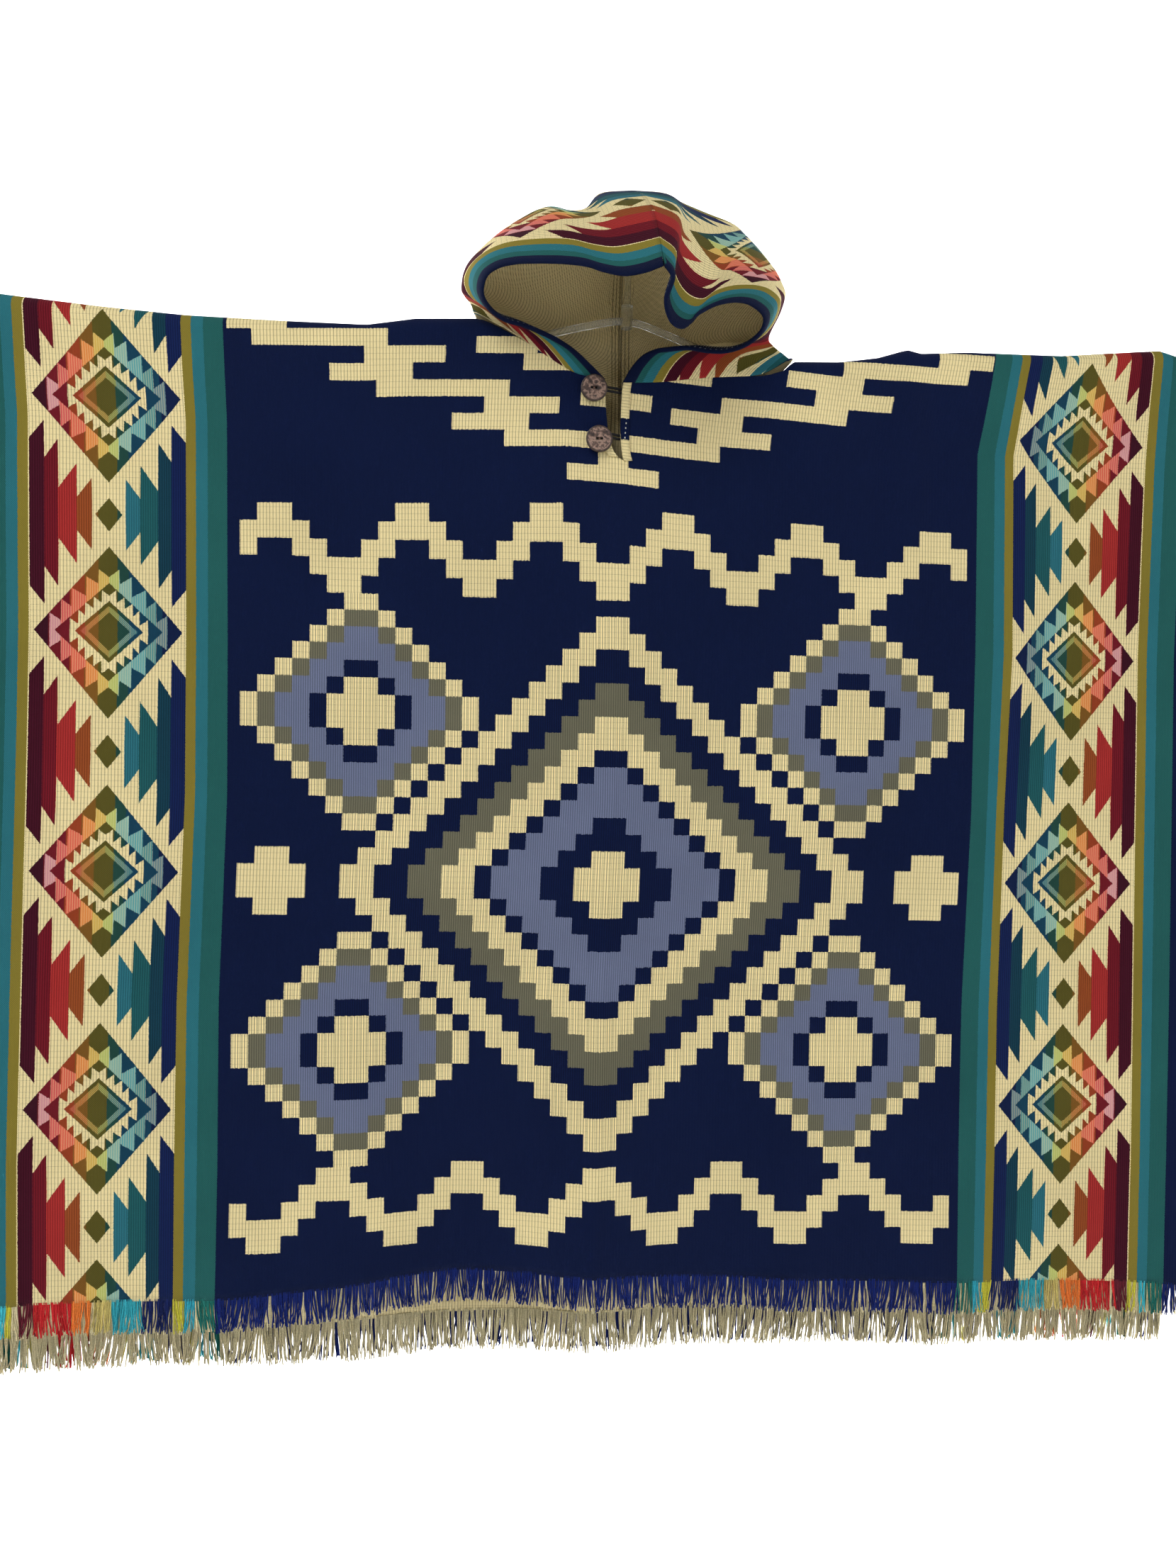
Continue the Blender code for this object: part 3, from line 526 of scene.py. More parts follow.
def wovenPattern(tree):
    # The colour of the cloth's face, and a number that is one where the yarn is cream. p is
    # the distance down to the next large diamond, and fromSmall that to the small one.
    place, across, down = clothPlace(tree)
    trueU, trueV = across * 1000.0, down * 1000.0

    def fuzz(name):
        scale, reach = weaveMarks[name]
        return (noiseAt(tree, place, scale, 1.0) - 0.5) * reach

    u, v = trueU + fuzz("fuzzAcross"), trueV + fuzz("fuzzDown")
    side = u.size()
    a = side - bandUnit["centre"]
    away = a.size()
    p = v.use("PINGPONG", bandUnit["halfRepeat"])
    fromSmall = bandUnit["halfRepeat"] - p
    half, edge = weaveMarks["dots"]
    dots = trueU.use("PINGPONG", half).above(edge) + trueV.use("PINGPONG", half).above(edge)
    dots = dots.use("MODULO", 2.0)
    half, edge = weaveMarks["lines"]
    lines = trueU.use("PINGPONG", half).above(edge)
    reach = bandUnit["reach"]

    def diamond(name, down):
        # Shares of the half width and of the half height, which add up to one at the edge
        wide, high = bandUnit[name]
        return away / wide + down / high

    def tone(name):
        return ramp(a, -reach, reach, bandUnit[name])

    def tips(name):
        return rampNumber(away, 0, reach, scaled(bandUnit[name]), False) * 100.0

    darkTone = tintColour(tree, tone("darkTones"), 0.72 + dots * 0.5)
    lightTone = mixColour(tree, lines * 0.3, tone("lightTones"), dyes["cream"])
    blockTone = tintColour(tree, tone("blockTones"), 0.82 + lines * 0.5)
    stripeTone = tintColour(tree, ramp(side, *stripesFromTo, stripes), 0.8 + dots * 0.35)
    inner = diamond("innerDiamond", p)
    ringLow, ringHigh = bandUnit["innerRing"]
    middle = side.below(middleDesign["edge"])
    layers = [
        # where, colour, cream yarn
        (fromSmall.below(tips("blockTips")), blockTone, 0.0),
        (diamond("smallDiamond", fromSmall).below(1.0), darkTone, 0.0),
        (diamond("bigDiamond", p).below(1.0), darkTone, 0.0),
        (p.below(tips("lightTips")), lightTone, 0.0),
        (diamond("secondDiamond", p).below(1.0), darkTone, 0.0),
        (p.below(tips("creamTips")), dyes["cream"], 1.0),
        (inner.below(1.0), darkTone, 0.0),
        (inRow(inner, ringLow, ringHigh - ringLow) * dots, lightTone, 0.0),
        (away.above(bandUnit["halfWidth"]), stripeTone, 0.0),
        (middle, dyes["navy"], 0.0),
    ]
    colour, pale = dyes["cream"], shaderNumber(tree, valueNode(tree, 1.0))
    for mask, tone, cream in layers:
        colour = mixColour(tree, mask, colour, tone)
        pale = pale * (1.0 - mask) + mask * cream
    fromCentre = (u - yokeChart["centre"]).size()
    height = yokeChart["rowHeight"]
    yoke = chartMask(fromCentre, v, yokeChart["lower"], height)
    yoke = (yoke + chartMask(fromCentre, v, yokeChart["upper"], height)).use("MINIMUM", 1.0)
    yoke = yoke * middle
    colour, pale = addMiddle(tree, fromCentre, v, lines, colour, pale)
    colour = mixColour(tree, yoke, colour, dyes["cream"])
    pale = pale * (1.0 - yoke) + yoke
    return colour, pale, trueU, trueV, place


def scaled(stops):
    return [(place, height / 100.0) for place, height in stops]


def valueNode(tree, number):
    node = tree.nodes.new("ShaderNodeValue")
    node.outputs[0].default_value = number
    return node.outputs[0]


def addMiddle(tree, side, v, lines, colour, pale):
    # Steps from a centre: the whole steps across plus the whole steps down.
    design = middleDesign
    step = design["step"]
    down = (v - design["centre"]).size()

    def stepsFrom(across, along):
        return (across / step).use("FLOOR") + (along / step).use("FLOOR")

    reach = design["bigReach"]
    inside = side.below(design["halfWidth"])
    big = stepsFrom(side, down)
    smallAcross, smallDown = design["smallCentre"]
    small = stepsFrom((side - smallAcross).size(), (down - smallDown).size())
    tinyAcross, tinyDown = design["tinyCentre"]
    tiny = stepsFrom((side - tinyAcross).size(), (down - tinyDown).size())
    # The zigzag row climbs one step for each column, then falls again
    low, turn = design["zigzag"]
    column = (side.use("PINGPONG", turn * step) / step).use("FLOOR")
    row = ((down - low) / step).use("FLOOR")
    zigzag = (column - row + 0.5).size().below(0.75)
    base, extra = design["greyStripes"]
    grey = base + lines * extra
    layers = [
        (zigzag, dyes["cream"], 1.0),
        (tiny.below(design["tinyReach"]), dyes["cream"], 1.0),
        (small.below(design["smallReach"]),
         ramp(small, 0, reach, shifted(design["smallTones"])),
         rampNumber(small, 0, reach, shifted(design["smallPale"]))),
        (big.below(reach),
         ramp(big, 0, reach, shifted(design["bigTones"])),
         rampNumber(big, 0, reach, shifted(design["bigPale"]))),
    ]
    for mask, tone, cream in layers:
        mask = mask * inside
        toned = tone if isinstance(tone, tuple) else tintColour(tree, tone, grey)
        colour = mixColour(tree, mask, colour, toned)
        pale = pale * (1.0 - mask) + mask * cream
    return colour, pale


def shifted(stops):
    # Stops lie just under whole numbers, so that a whole number of steps reads its own colour.
    return [(max(place - 0.5, 0), value) for place, value in stops]


# Ribs beside the hood's centre back seam: how far they reach, half their pitch and their width
# in millimetres, the share where they end, and how dark they are
hoodSeam = {"reach": 13.0, "rib": 1.9, "width": 0.5, "end": 0.03, "dark": 0.75}


def clothMaterial(name, reverse):
    # Double weave: its reverse is cream where the face is dark, and dark where it is cream.
    mat, tree, shader = newMaterial(name)
    colour, pale, u, v, place = wovenPattern(tree)
    if reverse:
        # The bands near the hood's edge are pale all over inside
        pale = pale * (u.size() - bandUnit["centre"]).below(bandUnit["paleInside"])
        colour = mixColour(tree, pale, dyes["reversePale"], dyes["reverseDark"])
        pale = 1.0 - pale
    # Ribs of the weave, with a dark dash between them on cream yarn
    width, half, gap = weaveMarks["dash"]
    rib = u.use("PINGPONG", weaveMarks["rib"]) / weaveMarks["rib"]
    dash = rib.below(width) * v.use("PINGPONG", half).above(gap)
    half, width = weaveMarks["course"]
    course = v.use("PINGPONG", half).below(width)
    marks = (dash * weaveMarks["dashShare"] + course * weaveMarks["courseShare"]) * pale
    if reverse:
        # Dark ribs beside the hood's centre back seam
        near = tree.nodes.new("ShaderNodeAttribute")
        near.attribute_name = "seam"
        share = shaderNumber(tree, near.outputs["Fac"])
        ribs = (share * hoodSeam["reach"]).use("PINGPONG", hoodSeam["rib"])
        ribs = ribs.below(hoodSeam["width"]) * share.above(hoodSeam["end"])
        marks = marks.use("MAXIMUM", ribs * hoodSeam["dark"])
    colour = mixColour(tree, marks, colour, dyes["dash"])
    (cloudScale, cloudShare), (grainScale, grainShare) = weaveMarks["cloud"], weaveMarks["grain"]
    cloud = noiseAt(tree, place, cloudScale, 3.0)
    grain = noiseAt(tree, place, grainScale, 2.0)
    shade = weaveMarks["shade"] + cloud * cloudShare + grain * grainShare
    colour = tintColour(tree, colour, shade)
    setInput(tree, shader.inputs["Base Color"], colour)
    setCloth(shader)
    addBump(tree, shader, rib * (0.3 + pale * 0.5) + grain * 0.7, weaveMarks["relief"], 0.8)
    return mat


# Stitches of the rolled hem: half their pitch and half their length in millimetres, their place
# and half width round the roll, and how many sink into the nap
hemStitches = {"pitch": 2.6, "length": 0.7, "around": 0.3, "width": 0.022, "sunk": 0.47}


def hemMaterial(name, values):
    # Brushed navy edge with light stitch dots along its middle.
    mat, tree, shader = newMaterial(name)
    place, along, around = clothPlace(tree)
    grain = noiseAt(tree, place, 900.0, 2.0)
    cloud = noiseAt(tree, place, 30.0, 2.0)
    stitch = ((along * 1000.0).use("PINGPONG", values["pitch"]).below(values["length"])
              * (around - values["around"]).size().below(values["width"]))
    shown = stitch * cloud.above(values["sunk"])
    colour = mixColour(tree, shown, dyes["hem"], dyes["hemStitch"])
    colour = tintColour(tree, colour, 0.7 + grain * 0.6)
    setInput(tree, shader.inputs["Base Color"], colour)
    setCloth(shader)
    addBump(tree, shader, grain * 0.6 + stitch, weaveMarks["relief"])
    return mat


slitEdge = {
    "navyStart": 13.8,        # down the cloth, where the turned edge is navy
    "navyLength": 20.3,
    "stitchAcross": 11.5,
    "stitchPitch": 4.6,
    "stitchSize": (0.75, 0.5),
    "rib": 1.45,
    "fuzz": 3.0,
}


def slitMaterial(name, values):
    # The turned edge: cream, then navy with a row of light stitches, then cream.
    mat, tree, shader = newMaterial(name)
    place, across, down = clothPlace(tree)
    u, v = across * 1000.0, down * 1000.0
    grain = noiseAt(tree, place, weaveMarks["grain"][0], 2.0)
    dark = inRow(v + (grain - 0.5) * values["fuzz"], values["navyStart"], values["navyLength"])
    rib = v.use("PINGPONG", values["rib"]) / values["rib"]
    long, wide = values["stitchSize"]
    stitch = (v.use("PINGPONG", values["stitchPitch"] / 2).below(long)
              * (u - values["stitchAcross"]).size().below(wide) * dark)
    tone = mixColour(tree, dark, dyes["cream"], dyes["navy"])
    tone = mixColour(tree, rib.below(0.3) * 0.3 * (1.0 - dark), tone, dyes["dash"])
    colour = mixColour(tree, stitch, tone, dyes["slitStitch"])
    setInput(tree, shader.inputs["Base Color"], tintColour(tree, colour, 0.7 + grain * 0.5))
    setCloth(shader)
    addBump(tree, shader, rib * 0.5 + grain * 0.6 + stitch, weaveMarks["relief"])
    return mat


makeCamera(cameraView)
makeStudio(studio)
face = clothMaterial("clothFace", False)
back = clothMaterial("clothReverse", True)
hemNavy = hemMaterial("hemNavy", hemStitches)
slitCloth = slitMaterial("slitEdge", slitEdge)
print("poncho: camera, studio and cloth materials made")


# Body of the poncho

body = {
    "cloth": 2.0,
    "foldRadius": 12.0,
    "ridgeClearance": 0.55,
    "backSpread": 26.0,
    "sideStation": 596.0,
    "hemWidth": 8.0,
    "slitHemThickness": 1.2,
    "seam": 0.3,
    "ripple": 0.5,            # small unevenness of the hanging cloth
    "ripples": [
        # length across, length down, start, strength
        (31, 83, 0.0, 1.0), (47, -59, 1.3, 1.0), (17, 151, 2.1, 0.6),
    ],
    "creaseRunIn": 40.0,      # below the fold, over which the creases grow
    "foldLine": [
        (-600, 412), (-538, 407), (-469, 402), (-393, 398), (-306, 397.5), (-229, 398),
        (-184, 406), (-128, 409), (176, 384), (221, 386), (258, 392), (286, 401),
        (300, 398), (345, 401.5), (441, 403), (510, 410), (541, 413), (600, 397),
    ],
    "frontHem": [
        (-600, -516), (-524, -511), (-448, -509.5), (-334, -506.5), (-133, -492.5), (-65, -492),
        (-5, -491), (113, -498), (230, -501), (350, -503), (533, -507.5), (600, -513),
    ],
    "backHem": [(-600, -560), (-133, -553.5), (122, -548.5), (600, -552)],
    "sides": [
        # height, left edge, right edge
        (-560, -594, 598), (-380, -594, 596), (-100, -591, 592), (110, -589, 589),
        (300, -591, 592), (420, -598, 596),
    ],
    "neckCorners": {"left": -128.0, "right": 176.0},
    "frontNeck": [
        (-128, 409), (-110, 401), (-77, 385), (-50, 368), (-33, 360), (-8, 356),
        (11, 352.5), (40, 355), (84, 362), (120, 365), (146, 367), (165, 373), (176, 384),
    ],
    "backNeck": [
        (-128, 409), (-100, 376), (-60, 337), (-20, 313), (11, 309), (50, 314),
        (100, 333), (150, 361), (176, 384),
    ],
    "backCentre": 11.0,
    "slit": [
        # height, left edge, right edge
        (-510, -5.5, -2.0), (-378, -2.0, 1.5), (-231, 3.5, 6.5), (48, 4.0, 7.0),
        (242, 5.0, 8.0), (280, 9.0, 12.0), (287, 2.5, 9.8), (298, -2.0, 8.9),
        (309, -3.7, 8.2), (328, -5.8, 8.3), (345, -7.0, 8.9), (361, -7.8, 11.4),
    ],
    "slitHead": 352.0,
    "slitShare": 0.0708,      # of the height below the fold that the slit takes
    "creases": [
        # x at the fold and at the hem, half width, depth at the fold, mid height and hem
        (12, -4, 62, -2.0, -6.0, -8.0), (12, -4, 15, 0.0, -2.5, -3.0),
        (-150, -133, 125, 0.0, 4.0, 20.0), (130, 113, 92, 2.0, 3.0, 9.0),
        (-330, -345, 90, -3.0, -2.0, -5.0), (368, 352, 80, -6.0, -4.0, -5.0),
        (286, 300, 30, -5.0, 0.0, 0.0), (-235, -250, 60, 4.0, 0.0, 0.0),
        (-470, -465, 110, 2.0, 3.0, 3.0), (470, 465, 110, 2.0, 3.0, 3.0),
    ],
    "backCreases": [
        (-60, -40, 110, 0.0, 3.0, 6.0), (210, 230, 120, 0.0, -2.0, 7.0),
        (-420, -400, 120, 2.0, 4.0, 6.0),
    ],
    "backFollows": 0.7,
}

# Where the weave lies: the bands' edges across at each height, and how far the weft is lifted.
weave = {
    "marks": (-528.0, -390.0, -351.0, 351.0, 390.0, 528.0),
    "lines": [
        (400, -533.5, -396, -358.5, 373, 408, 530.7),
        (350, -530.5, -393, -355, 362.5, 397.5, 527.7),
        (300, -527, -389, -352, 353.4, 389.5, 525.5),
        (110, -524.4, -386.1, -348.7, 357, 395.6, 523.3),
        (-40, -525.7, -385.1, -347.2, 357.3, 391, 526.2),
        (-230, -528.3, -390, -351.6, 353, 389.5, 529.4),
        (-380, -530, -390.3, -350.5, 354, 391.3, 531.8),
        (-510, -528.5, -389.5, -351.1, 355.8, 391.3, 532.6),
    ],
    "lift": [
        (-395, 0), (-327, 4), (-219, 9.5), (-148, 13), (-101, 15), (-42, 17.7), (0, 15),
        (44, 12), (103, 8.4), (150, 7), (214, 2.3), (390, -2.6),
    ],
    "liftFade": (150.0, 260.0),
    "down": [(412, -93), (318.6, 0), (107, 215), (-112, 430), (-330.5, 645), (-560, 871)],
    "foldPlace": -170.0,      # the back's v is this less the front's
}


def edgesAt(table, z):
    # The left and the right edge at a height.
    rows = np.array(sorted(table), float)
    return np.interp(z, rows[:, 0], rows[:, 1]), np.interp(z, rows[:, 0], rows[:, 2])


def creaseDepth(creases, x, z):
    # Each soft crease is a raised cosine across its line.
    top, foot = lineAt(body["foldLine"], x), lineAt(body["frontHem"], x)
    fall = np.clip((top - z) / (top - foot), 0, 1)
    depth = np.zeros_like(fall)
    for topX, footX, halfWidth, atTop, atMiddle, atFoot in creases:
        reach = np.clip(np.abs(x - (topX + (footX - topX) * fall)) / halfWidth, 0, 1)
        height = smoothRead((0, 0.5, 1), (atTop, atMiddle, atFoot), fall)
        depth += height * 0.5 * (1 + np.cos(math.pi * reach))
    return depth


def fromRidge(x, z):
    # Over the fold each layer follows a quarter circle, then stays a radius away.
    radius = body["foldRadius"]
    below = np.clip(lineAt(body["foldLine"], x) - z, 0, radius)
    return np.maximum(np.sqrt(radius**2 - (radius - below) ** 2), body["ridgeClearance"])


def creaseShare(x, z):
    below = lineAt(body["foldLine"], x) - z - body["foldRadius"]
    return np.clip(below / body["creaseRunIn"], 0, 1)


def ripple(x, z):
    # A few crossing waves, none in step with another.
    waves = sum(strength * np.sin(x / across + z / down + start)
                for across, down, start, strength in body["ripples"])
    return body["ripple"] * waves / 2


def frontDepth(x, z):
    # Forward round the fold, then the creases.
    return (body["foldRadius"] - fromRidge(x, z)
            + creaseDepth(body["creases"], x, z) * creaseShare(x, z))


def backDepth(x, z):
    # The back swings out evenly on its way down, and follows the front's creases a little.
    top, foot = lineAt(body["foldLine"], x), lineAt(body["backHem"], x)
    fall = np.clip((top - z) / (top - foot), 0, 1)
    creases = (body["backFollows"] * creaseDepth(body["creases"], x, z)
               + creaseDepth(body["backCreases"], x, z))
    return (body["foldRadius"] + fromRidge(x, z) + body["backSpread"] * fall
            + creases * creaseShare(x, z))


def heightsDown(top, foot, steps, shares):
    # Fixed steps down from the top, then shares of what is left.
    below = top - steps[-1]
    return np.concatenate([top - np.array(steps), below - (below - foot) * np.array(shares)])


def frontGrid(leftX, rightX, hemX, steps, shares):
    # Rows down and columns across, left half then right half, each fanned from the slit: a
    # column keeps its share of the way from the slit's edge to the side.
    columns = []
    for topX, edge in [(x, 0) for x in leftX] + [(x, 1) for x in rightX]:
        inside = body["neckCorners"]["left"] < topX < body["neckCorners"]["right"]
        top = lineAt(body["frontNeck"] if inside else body["foldLine"], topX)
        z = heightsDown(top, lineAt(body["frontHem"], topX), steps, shares)
        side, cut = edgesAt(body["sides"], z)[edge], edgesAt(body["slit"], z)[edge]
        x = cut + (topX - cut[0]) / (side[0] - cut[0]) * (side - cut)
        if topX == hemX[edge]:
            x = cut + body["hemWidth"] * (2 * edge - 1)
        columns.append(np.stack([x, frontDepth(x, z), z], axis=1))
    return np.stack(columns, axis=1)


def backGrid(across, steps, shares):
    # Each column keeps its share of the way from the left side to the right.
    columns = []
    for topX in across:
        inside = body["neckCorners"]["left"] < topX < body["neckCorners"]["right"]
        top = lineAt(body["backNeck"] if inside else body["foldLine"], topX)
        z = heightsDown(top, lineAt(body["backHem"], topX), steps, shares)
        left, right = edgesAt(body["sides"], z)
        x = left + (topX - left[0]) / (right[0] - left[0]) * (right - left)
        columns.append(np.stack([x, backDepth(x, z), z], axis=1))
    return np.stack(columns, axis=1)


def weavePlace(points):
    # Cloth coordinates u and v of points on the front, in metres. u is read across between the
    # bands' edges, v down from the height less the weft's lift.
    x, z = points[..., 0], points[..., 2]
    rows = np.array(sorted(weave["lines"]), float)
    marks = [np.interp(z, rows[:, 0], rows[:, k + 1]) for k in range(6)]
    u = weave["marks"][0] + np.minimum(x - marks[0], 0) + np.maximum(x - marks[5], 0)
    for k in range(5):
        share = np.clip((x - marks[k]) / (marks[k + 1] - marks[k]), 0, 1)
        u = u + share * (weave["marks"][k + 1] - weave["marks"][k])
    low, high = weave["liftFade"]
    lifted = z - lineAt(weave["lift"], x) * np.clip((z - low) / (high - low), 0, 1)
    v = lineAt(sorted(weave["down"]), lifted)
    return np.stack([u, v], axis=-1) * mm


slitEdges = [float(edge) for edge in edgesAt(body["slit"], body["slitHead"])]
hemEdges = [slitEdges[0] - body["hemWidth"], slitEdges[1] + body["hemWidth"]]
meshCounts = {
    "slitRows": 12,
    "leftHemRows": 4,
    "frontRows": 105,
    "backRows": 91,
    "frontColumns": (76, 20, 4, 26, 69),      # left, neck, slit's edge, neck, right
    "backColumns": (50, 24, 28, 46),
    "foldSteps": (0, 1, 2, 3.5, 5, 7, 9, 11.5, 14),
}
slitRows, fineSteps = meshCounts["slitRows"], meshCounts["foldSteps"]
fineShares = np.concatenate([np.linspace(0, body["slitShare"], slitRows + 1)[1:],
                             np.linspace(body["slitShare"], 1, meshCounts["frontRows"])[1:]])


def buildFront():
    reach = body["sideStation"]
    neckLeft, neckRight = body["neckCorners"]["left"], body["neckCorners"]["right"]
    left, leftNeck, edge, rightNeck, right = meshCounts["frontColumns"]
    leftX = np.concatenate([np.linspace(-reach, neckLeft, left),
                            np.linspace(neckLeft, hemEdges[0], leftNeck)[1:],
                            np.linspace(hemEdges[0], slitEdges[0], edge)[1:]])
    rightX = np.concatenate([np.linspace(slitEdges[1], hemEdges[1], edge)[:-1],
                             np.linspace(hemEdges[1], neckRight, rightNeck)[:-1],
                             np.linspace(neckRight, reach, right)])
    grid = frontGrid(leftX, rightX, (None, None), fineSteps, fineShares)
    grid[..., 1] += ripple(grid[..., 0], grid[..., 2]) * creaseShare(grid[..., 0], grid[..., 2])
    rows, columns = grid.shape[:2]
    keep = np.ones((rows - 1, columns - 1), bool)
    slitEnd = len(fineSteps) + slitRows - 1
    keep[:slitEnd, len(leftX) - 1] = False
    place = weavePlace(grid).reshape(-1, 2)
    front = addMesh("ponchoFront", toRow(grid).reshape(-1, 3), gridFaces(rows, columns, keep),
                    [face, back], place)
    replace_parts(thicken(front, body["cloth"], 1), "front_panel")
    # The turned edges of the slit lie on the front
    out = np.array([0, -(body["cloth"] / 2 + body["seam"] + body["slitHemThickness"] / 2), 0])
    leftStart = slitEnd - meshCounts["leftHemRows"]
    strips = [("slitHemRight", grid[: slitEnd + 1, len(leftX) : len(leftX) + edge]),
              ("slitHemLeft", grid[leftStart : slitEnd + 1, len(leftX) - edge : len(leftX)])]
    for name, strip in strips:
        raised = strip + out
        shape = strip.shape[:2]
        hem = addMesh(name, toRow(raised).reshape(-1, 3), gridFaces(*shape), [slitCloth],
                      weavePlace(strip).reshape(-1, 2))
        node = "slit_hem_right" if name == "slitHemRight" else "slit_hem_left"
        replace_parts(thicken(hem, body["slitHemThickness"]), node)
        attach(hem, "root")
    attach(front, "root")
    return front, grid[-1]


def buildBack():
    reach, centre = body["sideStation"], body["backCentre"]
    stations = [-reach, body["neckCorners"]["left"], centre, body["neckCorners"]["right"], reach]
    parts = [np.linspace(start, end, count)[1:] for start, end, count
             in zip(stations, stations[1:], meshCounts["backColumns"])]
    across = np.concatenate([[-reach]] + parts)
    grid = backGrid(across, fineSteps, np.linspace(0, 1, meshCounts["backRows"])[1:])
    place = weavePlace(grid)
    place[..., 1] = weave["foldPlace"] * mm - place[..., 1]
    rows, columns = grid.shape[:2]
    # Its face looks away from the viewer
    panel = addMesh("ponchoBack", toRow(grid).reshape(-1, 3), gridFaces(rows, columns)[:, ::-1],
                    [face, back], place.reshape(-1, 2))
    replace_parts(thicken(panel, body["cloth"], 1), "back_panel")
    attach(panel, "root")
    return panel, grid[-1]


frontPiece, frontHemLine = buildFront()
backPiece, backHemLine = buildBack()
print("poncho: body hung")


# Hood

hood = {
    "hemThickness": 4.5,
    "hemStep": 1.2,
    "swellFront": 0.10,
    "swellBack": 0.14,
    "rows": 20,
    "knots": (0.0, 0.5, 1.0, 1.5, 2.0),
    "axisDepth": 10.0,        # the bulges point away from this depth, and this much upwards
    "awayUp": 60.0,
    "sharpest": 0.4,          # the least half angle and sine that a seam is drawn back for
    "neckReach": 0.26,
    "frontShares": (0.17, 0.36, 0.57, 0.79, 1.0),
    "backShares": (0.2, 0.42, 0.65, 0.84, 1.0),
    "shoulderLift": (1.5, 0.0, 4.2),
    "besideShoulderLift": (0.0, -1.0, 2.0),
    "neckSeam": -0.3,
    "backSeam": -0.3,         # the halves overlap a little, so that no light comes through
    "hemHalfWidth": 6.2,
    "overlock": {"pitch": 2.6, "near": 10.6, "far": 14.6, "lift": 1.5, "radius": 0.42,
                 "ends": (6.0, 4.0)},
    "fineRows": 90,
    "fineColumns": 108,
    "hemRows": 220,
    "acrossColumn": 8,        # the column of the cloth that gives the hem its direction
    # From the neck up: the face edge, the outline seen from the front, the centre back seam
    "left": [
        (-8, -2, 357, -128, 12, 409, 24, 309), (-36, -8, 379, -132, 5, 420, 30, 335),
        (-75, -17, 393, -138, -2, 426, 36, 360), (-109, -28, 400, -139, -4, 433, 40, 385),
        (-122, -42, 412, -136, -6, 444, 43, 405), (-117, -60, 425, -128, -8, 457, 45, 422),
        (-100, -74, 427, -110, -9, 476, 46, 440), (-72, -92, 423, -88, -10, 494, 46, 458),
        (-35, -110, 415, -60, -10, 508, 46, 475), (-6, -120, 405, -30, -8, 508, 45, 492),
        (10, -124, 406, -18, 8, 529, 44, 505), (20, -125, 410, -3, 12, 537.4, 43, 512),
        (29, -125, 413.5, 14, 12, 537.6, 42, 515),
    ],
    "right": [
        (11, -2, 354, 176, 12, 384, 24, 309), (28, -6, 379, 167, 8, 388, 30, 332),
        (60, -13, 384, 153, 3, 395, 36, 354), (102, -25, 379, 146, 0, 405, 40, 374),
        (126, -34, 388, 150, -3, 420, 42, 392), (134, -46, 399, 156, -5, 438, 44, 409),
        (118, -62, 408, 153, -6, 453, 45, 425), (90, -80, 402, 143, -8, 469, 46, 442),
        (67, -95, 387, 124, -10, 489, 46, 458), (44, -110, 367, 100, -9, 507, 46, 475),
        (31, -121, 377, 70, -3, 518, 45, 492), (34, -127, 396, 50, 5, 533, 44, 505),
        (37, -127, 409, 34, 12, 537.8, 43, 512), (29, -125, 413.5, 14, 12, 537.6, 42, 515),
    ],
    # Pattern: the brim's place across the band, and the first large diamond from the top seam
    "brimAcross": 567.5,
    "firstDiamond": 125.0,
    "patternShift": 2150.0,
}


def neckColumns(side):
    # Where the hood's columns stand on the neck, by shares from hem to corner to centre back.
    corner = body["neckCorners"][side]
    edge = 0 if side == "left" else 1
    slit, hem = slitEdges[edge], hemEdges[edge]
    front = [slit, hem] + [hem + (corner - hem) * s for s in hood["frontShares"]]
    rear = [corner + (body["backCentre"] - corner) * s for s in hood["backShares"]]
    return front, rear


def neckEdge(side):
    # The body's neck edge from the slit over the shoulder corner to the back, and its inside.
    frontX, rearX = neckColumns(side)
    steps = (0.0, 2.0)
    if side == "left":
        front = frontGrid(frontX[::-1], [], hemEdges, steps, [1.0])[:2, ::-1]
    else:
        front = frontGrid([], frontX, hemEdges, steps, [1.0])[:2]
    rear = backGrid([body["neckCorners"][side]] + rearX, steps, [1.0])[:2]
    shoulder = (front[:, -1:] + rear[:, :1]) / 2
    hemSpan = np.linalg.norm(front[0, 2] - front[0, 1])
    step = (hood["hemStep"] - 1) * body["hemWidth"] / hemSpan
    beside = front[:, 1:2] + (front[:, 2:3] - front[:, 1:2]) * step
    edge = np.concatenate([front[:, :2], beside, front[:, 2:-1], shoulder, rear[:, 1:]], axis=1)
    return edge[0], edge[1] - edge[0]


